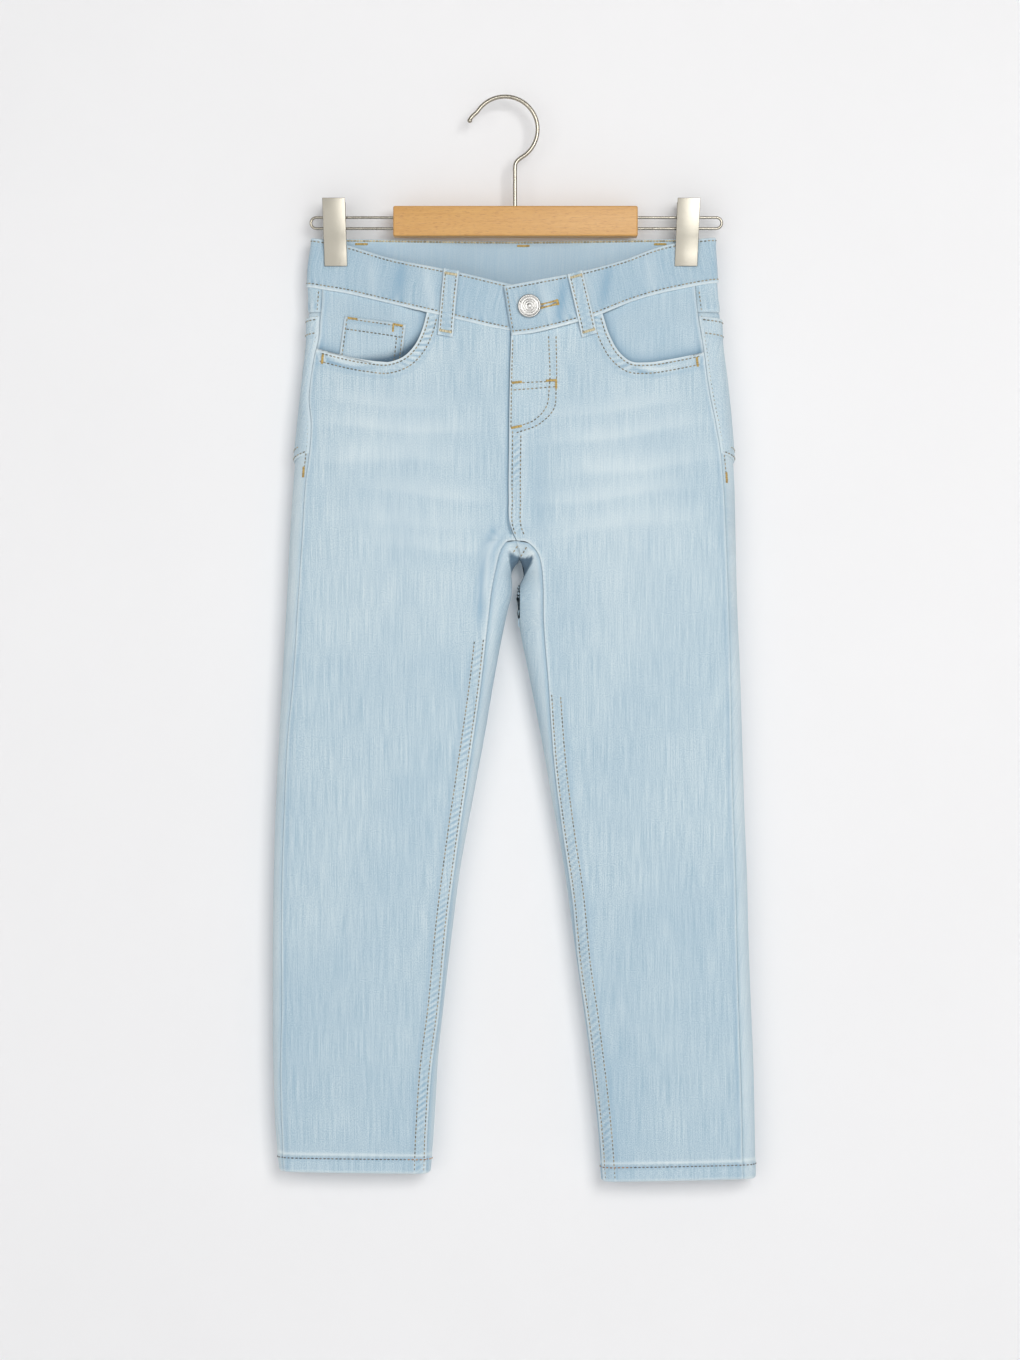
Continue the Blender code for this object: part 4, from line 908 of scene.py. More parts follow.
def front_relief(side, x, drop):
    """How far a front's outside is raised, how it is washed pale and blue, and where shade and highlights are
    painted.
    """
    sign = SIDES[side]
    rise, deep, pale = hem_puckers(side, x, drop)
    pale += whiskers(x, drop)
    # Painted shade: the lower legs darken towards the hems, as less light falls there.
    deep += 0.13 * ease((drop - 430) / 180)
    painted_shade = np.zeros(np.shape(x))

    seam, along = near(INSEAMS[side], x, drop)
    seam = np.maximum(sign * seam, 0)
    lower = drop > CROSS_DROP - 4
    fell = ease((drop - FELL_START[side]) / 30.0) * lower
    waves = ripple(along + sign * 0.8 * seam, 4.8, 1.0 + sign)
    rise += lower * 0.5 * hump(seam, 0.3, 1.5)
    rise += fell * 0.5 * (1 - ease((seam - FELL_WIDTH + 0.8) / 1.4))
    rise += fell * 0.36 * waves * hump(seam, 4.6, 3.4)
    pale += lower * hump(seam, 0.6, 1.4) * (0.7 + 0.3 * ripple(along, 3.1, 5.0))
    pale += fell * (0.6 * tops(waves) * hump(seam, 4.6, 3.6) + 0.4 * hump(seam, FELL_WIDTH, 0.9))
    # The dark line just past the fell's edge is partly kept blue and partly painted shadow of the raised seam.
    deep += fell * (0.95 * hollows(waves) * hump(seam, 4.8, 3.6) + 0.6 * hump(seam, 9.9, 1.0))

    side_seam = np.maximum(sign * (smooth(OUTSEAM, side, drop) - x), 0)
    rise += 0.35 * hump(side_seam, 0, 1.5)
    pale += 0.75 * hump(side_seam, 0.3, 1.0) * (0.8 + 0.2 * ripple(drop, 3.4, 2.0))
    # The dark line beside the side seam's pale ridge is partly kept blue and partly painted shadow.
    deep += 0.3 * hump(side_seam, 2.6, 1.4)

    edge, along = near(POCKETS[side], x, drop)
    edge = np.maximum(-sign * edge, 0)
    upper = drop < POCKET_DROP
    waves = ripple(along + 0.5 * edge, 4.4, 4.0 + sign)
    double = upper * (1 - ease((edge - 8.6) / 1.6))
    corner = hump(x, -84.0, 20.0) * hump(drop, 84.0, 18.0) * (side == "left")
    rise += double * 0.32 + upper * 0.32 * waves * hump(edge, 5.0, 2.6)
    rise += 1.7 * corner * hump(edge, 0, 9.0)
    pale += upper * (0.85 * hump(edge, 0.4, 1.2) + 0.8 * tops(waves) * hump(edge, 5.0, 3.2))
    # The dark line just past the pocket's double edge is partly kept blue and partly painted shadow.
    deep += upper * (1.5 * hollows(waves) * hump(edge, 5.2, 3.2) + 0.4 * hump(edge, 10.6, 1.2))

    if side == "right":
        deep += 0.4 * hump(x, 18, 6.5) * hump(drop, 192, 36)
        more = fly_relief(x, drop)
        rise, pale, deep = rise + more[0], pale + more[1], deep + more[2]
    else:
        # Each fold is raised and also painted: shade in the hollow folds, a highlight along the raised ones.
        for line, height in CROTCH_FOLDS:
            aside, along = near(line, x, drop)
            fold = hump(aside, 0, 2.6) * ease(along / 10) * ease((line[-1, 1] - drop) / 24)
            rise, deep = rise + height * fold, deep + hollows(height) * 1.1 * fold
            pale += tops(height) * 0.9 * fold
        # Painted shadow: a dark line beside the centre seam, where the right front's fly edge lies over the
        # left front.
        below = smooth(CENTRE_FRONT, "x", drop) - x
        deep += 0.6 * hump(below, 1.4, 2.0) * (drop < CENTRE_SEAM_DROP)
        painted_shade += 0.6 * hump(below, 1.3, 0.9) * (drop < CENTRE_SEAM_DROP)
    return rise, tuple(np.clip(part, 0, 1) for part in (pale, deep, painted_shade))


def fly_over(drop):
    """1 where the right front lies over the left, falling to 0 just above the crotch."""
    return 1 - ease((drop - FLY_FADE_DROP) / FLY_FADE)


def fly_relief(x, drop):
    """The right front's folded fly edge, its double layer and the felled seam under it."""
    edge = x + FLY_OVERLAP - smooth(CENTRE_FRONT, "x", drop)
    rise = FLY_RISE * fly_over(drop) * (1 - ease((edge - 3.0) / 16.0))
    inside, _ = near(FLY_OUTER, x, drop)
    in_fly = ease((0.8 - inside) / 1.6) * (drop < FLY_ARC_DROP + 4)
    rise += 0.3 * in_fly
    pale = 0.55 * hump(edge, 0.5, 1.1) * (drop < CENTRE_SEAM_DROP)
    pale += 0.3 * hump(inside, 0.9, 0.8) * (drop < FLY_ARC_DROP)
    waves = ripple(drop + 0.8 * edge, 4.6, 6.0)
    seam = ease((drop - 138) / 6) * (1 - ease((drop - 212) / 6))
    rise += seam * (0.25 * (1 - ease((edge - 9.6) / 1.4)) + 0.34 * waves * hump(edge, 5.8, 3.0))
    pale += seam * (0.55 * tops(waves) * hump(edge, 5.8, 3.2) + 0.35 * hump(edge, 10.2, 0.8))
    # The dark line just past the felled seam is partly kept blue and partly painted shadow of its raised edge.
    deep = seam * (hollows(waves) * hump(edge, 5.8, 3.0) + 0.35 * hump(edge, 11.2, 1.0))
    deep += 0.25 * hump(inside, -1.2, 1.2) * (drop < FLY_ARC_DROP)
    return rise, pale, deep


print("whisker lines:", len(WHISKERS["x"]), "and felled inseams from drop", FELL_START)

# %% [markdown]
# ## The two fronts
# A front is one panel from the waistband to the hem, cut away at the top for its pocket. It could be drawn
# as an outline and filled, but a filled outline has no regular grid to bend. Here its inner and outer edges
# are each a line, rows of points run from one to the other, and the hem is the last twelve millimetres,
# thicker because the cloth is turned up.

# %% Sewing the fronts
def stacked(bands):
    """The ends of a panel's rows, from bands that each hold an inner line and its outer ends."""
    inner, outer = [], []
    for number, (inner_line, outer_line, rows) in enumerate(bands):
        first = min(number, 1)
        inner.append(spaced(inner_line, rows + 1)[first:])
        outer.append(spaced(outer_line, rows + 1)[first:])
    return np.vstack(inner), np.vstack(outer)


def leg_bands(side, inseam, outseam, rows, hem_rows):
    """The bands below the crotch, down to the hem, with the hem's own rows at the end."""
    stops = []
    for line in (inseam, outseam):
        bottom = hem_drop(side, line[-1, 0])
        stops.append((CROTCH_END, bottom - HEM_HEIGHT, bottom - HEM_HEIGHT + SEAM_GAP, bottom))
    bands = []
    for number, count in enumerate((rows, 1, hem_rows)):
        inner, outer = (
            between_drops(line, stop[number], stop[number + 1])
            for line, stop in zip((inseam, outseam), stops)
        )
        bands.append((inner, outer, count))
    return bands


def hem_wall(rows, hem_rows, level):
    """Level and thickness of a panel with its hem turned up."""
    in_hem = (np.arange(rows) >= rows - hem_rows - 1)[:, None]
    return level + np.where(in_hem, HEM_OUTSIDE, 0.0), np.where(in_hem, HEM_THICKNESS, CLOTH)


FRONT_ROWS = (56, 76, 42, 270)
FRONT_TURN_DROP = 118.0
HEM_ROWS = 9
TUCK, TUCK_DEPTH = 0.7, 1.0


def front_lattice(side):
    """The places of a front's points, row by row from the waistband to the hem."""
    sign = SIDES[side]
    seam = np.vstack([seam_line(CENTRE_FRONT, "x", 60, CROSS_DROP)[:-1], INSEAMS[side]])
    seam = moved_aside(seam, sign * HALF_GAP)
    cross = np.argmax(seam[:, 1] >= CROSS_DROP - HALF_GAP - 0.02)
    pocket = pocket_edge(side)
    pocket[0, 1] = band_lower_edge(side, pocket[0, 0], -1) - TUCK
    outseam = moved_aside(seam_line(OUTSEAM, side, pocket[-1, 1], 690, 200), -sign * HALF_GAP)
    pocket[-1] = outseam[0]
    top = band_lower_edge(side, seam[0, 0], -1) - TUCK
    upper, lower = seam[: cross + 1], seam[cross:]
    inner_lines = (
        between_drops(upper, top, FRONT_TURN_DROP),
        between_drops(upper, FRONT_TURN_DROP, upper[-1, 1]),
        lower[lower[:, 1] <= CROTCH_END],
    )
    outer_lines = (
        pocket,
        between_drops(outseam, pocket[-1, 1], CROTCH_SIDE),
        between_drops(outseam, CROTCH_SIDE, CROTCH_END),
    )
    bands = list(zip(inner_lines, outer_lines, FRONT_ROWS))
    inner, outer = stacked(bands + leg_bands(side, lower, outseam, FRONT_ROWS[3], HEM_ROWS))
    across = shares(np.linalg.norm(outer - inner, axis=1), EDGE_STEPS, EDGE_STEPS, 28)
    x = inner[:, :1] + (outer[:, :1] - inner[:, :1]) * across
    drop = inner[:, 1:] + (outer[:, 1:] - inner[:, 1:]) * across
    edge = band_lower_edge(side, x[0], -1) - TUCK
    edge[-1] = drop[0, -1]
    fade = np.maximum(1 - np.arange(len(x)) / FRONT_ROWS[0], 0)[:, None]
    drop = drop + (edge - drop[0])[None, :] * fade
    if side == "right":
        from_seam = x - smooth(CENTRE_FRONT, "x", drop)
        x = x - FLY_OVERLAP * fly_over(drop) * (1 - ease(from_seam / 24))
    return x, drop, np.full(x.shape, -1)


for side in SIDES:
    lattice = front_lattice(side)
    rise, wash_and_shade = front_relief(side, lattice[0], lattice[1])
    level, thickness = hem_wall(len(rise), HEM_ROWS, rise)
    sew(f"front_{side}", lattice, level, thickness, wash_and_shade)
print("fronts:", {name: value for name, value in counts.items() if name.startswith("front")}, "triangles")

# %% [markdown]
# ## The two backs
# The backs are wider than the fronts, so on slim jeans they wrap round both sides of the leg and show at
# the front as narrow strips. Each row of points therefore starts at the side seam on the front, goes round
# the silhouette, over the back and, below the crotch, round the inside of the leg to the inseam. More
# columns are spent where the cloth turns.

# %% Sewing the backs
BACK_ROWS = (70, 26, 14, 36, 190)
BACK_COLUMNS = 66
HIP_DROP, SEAT_DROP = 165.0, 196.0
LOW_HIP_DROP = HIP_DROP + (CROTCH_SIDE - HIP_DROP) * 4 / 7
# How much lower than its end a row turns round the inside of the leg: by the rising edge under the
# crotch, by the inseam at the crotch, and how far down that fades.
RISING_SAG, SEAM_SAG, SAG_FADE = 10, 25, 70


def clustered(start, end, at_start, at_end, count=60):
    """Steps from start to end that close up towards a round edge at either end."""
    t = np.linspace(0, 1, count)
    if at_start and at_end:
        t = (1 - np.cos(math.pi * t)) / 2
    elif at_start:
        t = 1 - np.cos(math.pi / 2 * t)
    elif at_end:
        t = np.sin(math.pi / 2 * t)
    return np.asarray(start) + (np.asarray(end) - np.asarray(start)) * t[:, None]


def round_the_back(side, start, end, crossing):
    """A row of a back: from the side seam round the silhouette, over the back and to its end."""
    tip = (edge_x(side, start[1]), start[1])
    steps = [(clustered(start, tip, False, True), -1)]
    if crossing is None:
        steps.append((clustered(tip, end, True, False), 1))
    else:
        inner_tip = (smooth(LEG_GAP, side, crossing), crossing)
        steps.append((clustered(tip, inner_tip, True, True), 1))
        steps.append((clustered(inner_tip, end, True, False), -1))
    path = np.vstack([line if number == 0 else line[1:] for number, (line, _) in enumerate(steps)])
    face = np.concatenate([np.full(len(line) - 1, value) for line, value in steps])
    ends = np.concatenate([face[:1], face])
    solid = skin(path[:, 0], path[:, 1], ends, 0.0)
    normals = skin(path[:, 0], path[:, 1], ends, 1.0) - solid
    lengths = np.linalg.norm(np.diff(solid, axis=0), axis=1)
    turns = np.linalg.norm(np.diff(normals, axis=0), axis=1)
    along = np.concatenate([[0], np.cumsum(lengths + TURN_WEIGHT * turns)])
    at = shares(along[-1], EDGE_STEPS[:9], EDGE_STEPS[:9], BACK_COLUMNS)[0] * along[-1]
    low = np.clip(np.searchsorted(along, at, side="right") - 1, 0, len(face) - 1)
    x, drop = (np.interp(at, along, column) for column in path.T)
    return x, drop, face[low]


def back_lattice(side):
    """The places of a back's points, from under the yoke to the hem."""
    sign = SIDES[side]
    outseam = moved_aside(seam_line(OUTSEAM, side, 40, 690, 200), -sign * TUCK)
    lap = HALF_GAP if side == "right" else TUCK
    seat = seam_line(SEAT_SEAM, "x", 40, APEX_DROP) + [lap, 0]
    under = spaced(np.array([[APEX_X, APEX_DROP], [1.0, CROSS_DROP]]), 12)
    inseam = moved_aside(INSEAMS[side], sign * TUCK)
    front_line = np.vstack([under + [lap, 0], inseam[inseam[:, 1] > CROSS_DROP + 0.8]])
    cross = 11
    rise, lower = front_line[: cross + 1], front_line[cross:]
    top_outer, top_inner = YOKE_SIDE_DROP - TUCK, YOKE_CENTRE_DROP - TUCK
    inner_lines = (
        between_drops(seat, top_inner, SEAT_DROP),
        between_drops(seat, SEAT_DROP, APEX_DROP - 0.1),
        rise,
        lower[lower[:, 1] <= CROTCH_END],
    )
    stops = (top_outer, HIP_DROP, LOW_HIP_DROP, CROTCH_SIDE, CROTCH_END)
    outer_lines = [between_drops(outseam, *pair) for pair in zip(stops, stops[1:])]
    bands = list(zip(inner_lines, outer_lines, BACK_ROWS))
    inner, outer = stacked(bands + leg_bands(side, lower, outseam, BACK_ROWS[4], HEM_ROWS))
    last_on_back = BACK_ROWS[0] + BACK_ROWS[1]
    last_rising = last_on_back + BACK_ROWS[2]
    rows = []
    for number, (start, end) in enumerate(zip(outer, inner)):
        if number <= last_on_back:
            crossing = None
        elif number <= last_rising:
            crossing = APEX_DROP + (APEX_DROP - end[1]) * RISING_SAG / (APEX_DROP - CROSS_DROP)
        else:
            crossing = end[1] + SEAM_SAG * np.clip(1 - (end[1] - CROSS_DROP) / SAG_FADE, 0, 1) ** 2
        rows.append(round_the_back(side, start, end, crossing))
    return tuple(np.stack(values) for values in zip(*rows))


def tucked(past):
    """How deep an edge lies where it goes under its neighbour; past is how far it is clear of it."""
    return TUCK_DEPTH * (1 - ease((past + 0.4) / 1.7))


# The painted shade of the hollow below the crotch: its roof's line, then how far it reaches to each side at a
# drop.
HOLLOW_ROOF = table(
    "x drop", (-12, 227.5), (-3.8, 228.4), (2.2, 231.6), (7.0, 232.6), (10.6, 231.2), (16, 231.0)
)
HOLLOW_SIDES = table(
    "drop left right",
    (228, -5.2, 14.5), (236, -4.6, 13.0), (246, -2.6, 7.4), (253, -2.2, 4.4), (260, -2.0, 3.4),
)


def crotch_hollow(x, drop):
    """The painted shade under the crotch, and the painted highlight on the rolled edge above it, on the strips
    seen in front.
    """
    below = drop - np.interp(x, HOLLOW_ROOF["x"], HOLLOW_ROOF["drop"])
    left, right = (np.interp(drop, HOLLOW_SIDES["drop"], HOLLOW_SIDES[name]) for name in ("left", "right"))
    within = ease((x - left) / 1.2) * ease((right - x) / 1.2)
    shadow = ease(below / 1.0) * within * (1 - ease((drop - 248) / 12))
    roll_highlight = hump(below, -1.6, 1.4) * ease((x + 6) / 3) * ease((16 - x) / 3)
    return shadow, 0.8 * roll_highlight


def back_relief(side, x, drop, face):
    """How far a back's outside is raised, how it is washed and where shade and highlights are painted, on the
    back and on its front strips.
    """
    sign = SIDES[side]
    rise, deep, pale = hem_puckers(side, x, drop)
    painted_shade = np.zeros(x.shape)
    outer = np.where(face < 0, sign * (x - smooth(OUTSEAM, side, drop)), 99.0)
    outer = np.where(sign * x > 100, outer, 99.0)
    # Painted shadow: a dark line where the back's edge tucks under the front at the side seam; the strip beyond
    # it is painted paler.
    deep += 0.3 * hump(outer, 0.6, 1.0)
    painted_shade += 0.12 * hump(outer, 0.4, 0.8)
    pale += 0.45 * hump(outer, 5.0, 6.0)
    inner, _ = near(INSEAMS[side], x, drop)
    inner = np.where((face < 0) & (drop > CROSS_DROP + 0.5) & (sign * x < 90), -sign * inner, 99.0)
    # Painted shadow: a dark line where the strip tucks under the front at the inseam; beside it the strip is
    # painted paler.
    pale += 0.45 * hump(inner, 4.0, 3.0)
    deep += 0.55 * hump(inner, 1.2, 1.3)
    seat, along = near(seam_line(SEAT_SEAM, "x", 60, APEX_DROP), x, drop)
    seat = np.where((face > 0) & (drop < APEX_DROP + 6), sign * seat, 99.0)
    under = x - np.interp(drop, [CROSS_DROP, APEX_DROP], [1.0, APEX_X])
    under = np.where((face < 0) & (drop < APEX_DROP + 2) & (np.abs(under) < 30), sign * under, 99.0)
    centre = np.minimum(seat, under)
    waves = ripple(along, 4.8, 2.0)
    felled = (1 - ease((seat - 8.0) / 1.4)) * (side == "right")
    rise += 0.4 * felled + felled * 0.22 * waves * hump(seat, 4.6, 3.2)
    pale += felled * 0.5 * tops(waves) * hump(seat, 4.6, 3.6)
    pale += 0.4 * hump(centre, 0.6, 1.0) * (side == "right")
    deep += felled * 0.6 * hollows(waves) * hump(seat, 4.8, 3.4)
    below_yoke = drop - np.where(face < 0, YOKE_SIDE_DROP, yoke_drop(side, x))
    waves = ripple(x, 4.9, 3.3)
    # Painted shadow: a dark line just under the yoke's edge.
    deep += 0.35 * hump(below_yoke, 1.6, 1.4) * (1 + 0.5 * waves)
    sunk = np.maximum(np.maximum(tucked(outer), tucked(inner)), tucked(below_yoke))
    if side == "left":
        sunk = np.maximum(sunk, tucked(centre))
    shadow, light = crotch_hollow(x, drop)
    painted_shade, pale = painted_shade + np.where(face < 0, shadow, 0), pale + np.where(face < 0, light, 0)
    for middle in THIGH_MIDDLES:
        pale += np.where(face > 0, 0.3 * hump(x, middle, 46) * hump(drop, 150, 90), 0)
        pale += np.where(face > 0, 0.16 * hump(x, middle, 40) * hump(drop, 470, 120), 0)
    return rise - sunk, tuple(np.clip(part, 0, 1) for part in (pale, deep, painted_shade))


def yoke_drop(side, x):
    """The yoke seam, straight from the side seam down to the centre back."""
    span = (x - edge_x(side, YOKE_SIDE_DROP)) / (APEX_X - edge_x(side, YOKE_SIDE_DROP))
    return YOKE_SIDE_DROP + (YOKE_CENTRE_DROP - YOKE_SIDE_DROP) * np.clip(span, 0, 1)


for side in SIDES:
    lattice = back_lattice(side)
    rise, wash_and_shade = back_relief(side, *lattice)
    level, thickness = hem_wall(len(rise), HEM_ROWS, rise)
    sew(f"back_{side}", lattice, level, thickness, wash_and_shade)
print("backs:", {name: value for name, value in counts.items() if name.startswith("back")}, "triangles")

# %% [markdown]
# ## Yokes, pocket facings and patches
# The yoke is the wedge that shapes the seat. The facings are the denim behind the front pocket openings,
# and the coin pocket and the back pockets are patches laid on top. Each could be cut from the panel below
# it, but real ones are their own pieces with their own rolled edges, so each is a wall on the same skin.

# %% Sewing the yokes
YOKE_ROWS, YOKE_FRONT_COLUMNS, YOKE_BACK_COLUMNS = 16, 18, 70


def yoke_lattice(side):
    """A back yoke, from the side seam on the front round to the centre back."""
    sign = SIDES[side]
    rows = []
    for share in np.linspace(0, 1, YOKE_ROWS):
        guess = BAND_HEIGHT + (YOKE_SIDE_DROP - BAND_HEIGHT) * share
        start = float(smooth(OUTSEAM, side, guess)) - sign * TUCK
        tip = float(edge_x(side, guess))
        lap = HALF_GAP if side == "right" else TUCK
        centre = float(smooth(SEAT_SEAM, "x", guess)) + lap
        on_front = start + (tip - start) * (1 - np.linspace(1, 0, YOKE_FRONT_COLUMNS) ** 2)
        on_back = tip + (centre - tip) * np.linspace(0, 1, YOKE_BACK_COLUMNS + 1)[1:] ** 1.6
        x = np.concatenate([on_front, on_back])
        face = np.repeat([-1, 1], [YOKE_FRONT_COLUMNS, YOKE_BACK_COLUMNS])
        top = np.where(face < 0, band_lower_edge(side, x, -1), band_lower_edge(side, x, 1)) - TUCK
        bottom = np.where(face < 0, YOKE_SIDE_DROP, yoke_drop(side, x)) - HALF_GAP
        drop = top + (bottom - top) * share
        x = np.where(np.abs(x - tip) < 12, edge_x(side, drop) + (x - tip), x)
        rows.append((x, drop, face))
    return tuple(np.stack(values) for values in zip(*rows))


def yoke_relief(side, x, drop, face):
    """The yoke is felled over the back's top edge, with puckers between its two rows of stitches."""
    above = np.where(face < 0, YOKE_SIDE_DROP, yoke_drop(side, x)) - drop
    waves = ripple(x, 4.9, 1.3)
    felled = 1 - ease((above - 8.0) / 1.6)
    rise = 0.35 * felled * ease(above / 0.5) + 0.2 * waves * hump(above, 4.6, 3.0)
    pale = 0.45 * tops(waves) * hump(above, 4.6, 3.4) + 0.5 * hump(above, 0.5, 1.0)
    deep = 0.6 * hollows(waves) * hump(above, 4.6, 3.0)
    outer = np.where(face < 0, SIDES[side] * (x - smooth(OUTSEAM, side, drop)), 99.0)
    centre = np.where(face > 0, SIDES[side] * (x - smooth(SEAT_SEAM, "x", drop)), 99.0)
    # Painted shadow: a dark line where the yoke's edge tucks under the front at the side seam.
    painted_shade = 0.12 * hump(outer, 0.4, 0.8)
    deep += 0.3 * hump(outer, 0.6, 1.0)
    sunk = tucked(outer)
    if side == "left":
        sunk = np.maximum(sunk, tucked(centre))
    return rise - sunk, (pale, deep, painted_shade)


for side in SIDES:
    lattice = yoke_lattice(side)
    rise, wash_and_shade = yoke_relief(side, *lattice)
    sew(f"yoke_{side}", lattice, rise, CLOTH, wash_and_shade)

# %% Sewing the pocket facings
FACING_DEPTH, FACING_THICKNESS = 2.8, 1.0


def facing_level(side, x, drop):
    """The facing lies deep under the pocket's edge and comes up towards the side seam."""
    edge, _ = near(POCKETS[side], x, drop)
    return -0.6 - (FACING_DEPTH - 0.6) * (1 - ease((np.abs(edge) - 8.0) / 16.0))


def pocket_shadow(side, x, drop):
    """The painted shadow in the hollow where the left pocket's curved edge stands off the denim behind it."""
    shade, _ = near(POCKETS[side], x, drop)
    hollow = hump(x, -86.0, 26.0) * hump(drop, 84.0, 20.0) * (side == "left")
    return np.clip(1.5 * hollow * hump(shade, 0, 1.0 + 4.6 * hollow), 0, 1)


def four_sided(top, right, bottom, left, rows, columns):
    """A grid over a region with four edges, each a line of points."""
    u = np.linspace(0, 1, columns)[None, :, None]
    v = np.linspace(0, 1, rows)[:, None, None]
    top, bottom = (spaced(line, columns)[None] for line in (top, bottom))
    left, right = (spaced(line, rows)[:, None] for line in (left, right))
    straight = (1 - v) * top + v * bottom + (1 - u) * left + u * right
    corners = (1 - u) * (1 - v) * top[:, :1] + u * (1 - v) * top[:, -1:]
    corners = corners + (1 - u) * v * bottom[:, :1] + u * v * bottom[:, -1:]
    grid = straight - corners
    return grid[..., 0], grid[..., 1]


def facing_lattice(side):
    """The denim inside a front pocket, from the waistband to 6 mm under the pocket's edge."""
    sign = SIDES[side]
    edge = moved_aside(pocket_edge(side), sign * -6.0)
    turn = int(len(edge) * 0.42)
    outer_x = float(smooth(OUTSEAM, side, 40)) - sign * HALF_GAP
    top_x = np.linspace(outer_x, edge[0, 0], 24)
    top = np.stack([top_x, band_lower_edge(side, top_x, -1) - TUCK], axis=-1)
    edge[0, 1] = top[-1, 1]
    outseam = moved_aside(seam_line(OUTSEAM, side, 30, 120, 80), -sign * HALF_GAP)
    left = between_drops(outseam, top[0, 1], edge[-1, 1])
    edge[-1] = left[-1]
    x, drop = four_sided(top, edge[: turn + 1], edge[turn:][::-1], left, 48, 56)
    return x, drop, np.full(x.shape, -1)


for side in SIDES:
    lattice = facing_lattice(side)
    x, drop, _ = lattice
    shade, _ = near(POCKETS[side], x, drop)
    shade = np.abs(shade)
    lies = 0.25 * np.sin(x / 9 + drop / 13)
    outer = np.abs(x - smooth(OUTSEAM, side, drop))
    pale = 0.1 + 0.6 * hump(outer, 0.4, 1.0)
    # Painted shade: the facing darkens where it lies under the pocket's edge, most at the left pocket's curved
    # corner; the line beside the side seam is partly kept blue and partly painted shadow.
    deep = 0.6 * hump(shade, 0, 6.0) + 0.3 * hump(outer, 2.8, 1.4)
    painted_shade = np.maximum(0.3 * hump(shade, 0, 2.6), pocket_shadow(side, x, drop))
    wash_and_shade = (pale, deep + 0.22, painted_shade)
    level = facing_level(side, x, drop) + lies * ease((shade - 4) / 10) * ease((drop - 60) / 10)
    level = level + (0.25 - level) * hump(outer, 0, 3.0)
    sew(f"pocket_facing_{side}", lattice, level, FACING_THICKNESS, wash_and_shade)

# %% Sewing the coin pocket and the fly shield
# The corners of the coin pocket.
COIN_POCKET = table("x drop", (-123.6, 57.2), (-79.2, 63.4), (-82.6, 93.5), (-128.6, 91.0))
COIN_THICKNESS = 1.0
COIN_GAP = 0.5
SHIELD_WIDTH, SHIELD_TOP, SHIELD_END = 34.0, 72.6, 140.0
SHIELD_BEFORE_SEAM = 5.0


def coin_level(x, drop):
    return facing_level("left", x, drop) + COIN_GAP + COIN_THICKNESS


corners = points_of(COIN_POCKET)
coin_edges = [np.array([corners[a], corners[b]]) for a, b in ((0, 1), (1, 2), (3, 2), (0, 3))]
coin_x, coin_drop = four_sided(*coin_edges, 34, 48)
rim_aside = np.minimum.reduce([np.abs(near(line, coin_x, coin_drop)[0]) for line in coin_edges])
# The coin pocket carries the same painted shadow near the left pocket's curved corner.
wash_and_shade = (0.55 * hump(rim_aside, 0.3, 1.1) + 0.1, 0.35 * hump(rim_aside, 3.0, 1.2) + 0.2,
        pocket_shadow("left", coin_x, coin_drop))
level = coin_level(coin_x, coin_drop) + 0.15 * hump(rim_aside, 0.5, 1.4)
sew("coin_pocket", (coin_x, coin_drop, np.full(coin_x.shape, -1)), level, COIN_THICKNESS, wash_and_shade)

drop = np.linspace(SHIELD_TOP, SHIELD_END, 40)[:, None]
x = smooth(CENTRE_FRONT, "x", drop) - SHIELD_BEFORE_SEAM + np.linspace(0, SHIELD_WIDTH, 20)[None, :]
lattice = (x, np.broadcast_to(drop, x.shape), np.full(x.shape, -1))
sew("fly_shield", lattice, -CLOTH - SEAM_GAP, CLOTH, looks=(wrong_side, wrong_side))

# %% Sewing the back pockets
PATCH_THICKNESS = 1.1

# The back pockets, measured round the side from the silhouette, and how long they are at the side
# and down to the point.
BACK_POCKET = {"outer": -5.0, "inner": 107.0, "taper": 7.0, "top_outer": 57.0, "top_inner": 74.0}
BACK_POCKET_SIDE = 100.0
BACK_POCKET_POINT = 112.0


def side_round(side, drop):
    """How far in the silhouette's round edge reaches, and its quarter turn's length on the cloth."""
    rounding = smooth(DEPTH, "rounding", drop)
    depth = np.sqrt(np.maximum(depth_squared(edge_x(side, drop) - SIDES[side] * rounding, drop), 1))
    return rounding, math.pi / 2 * np.sqrt((rounding**2 + depth**2) / 2)


def round_the_side(side, away, drop):
    """Turns a distance along the cloth from the silhouette into x and face; under 0 is the front."""
    rounding, quarter = side_round(side, drop)
    share = np.minimum(np.abs(away) / quarter, 1)
    inset = rounding * (1 - np.cos(share * math.pi / 2)) + np.maximum(np.abs(away) - quarter, 0)
    return edge_x(side, drop) - SIDES[side] * inset, np.where(away < 0, -1, 1)


def side_reach(side, drop):
    """How far along the cloth the side seam is from the silhouette."""
    rounding, quarter = side_round(side, drop)
    inset = np.abs(edge_x(side, drop) - smooth(OUTSEAM, side, drop)) - 0.4
    turned = quarter * 2 / math.pi * np.arccos(np.clip(1 - inset / rounding, -1, 1))
    return np.where(inset < rounding, turned, quarter + inset - rounding)


def back_pocket_place(side, across, down):
    """A place on a back pocket, its two shares running from the outer edge and from the top."""
    shape = BACK_POCKET
    height = BACK_POCKET_SIDE
    height += (BACK_POCKET_POINT - BACK_POCKET_SIDE) * (1 - np.abs(2 * across - 1))
    drop = shape["top_outer"] + (shape["top_inner"] - shape["top_outer"]) * across + height * down
    low = -side_reach(side, drop)
    high = shape["inner"] - shape["taper"] * down
    away = low + (high - low) * across
    x, face = round_the_side(side, away, drop)
    level = SEAM_GAP + PATCH_THICKNESS + 0.2 * (1 - ease(np.abs(away) / 24.0))
    return x, drop, face, level


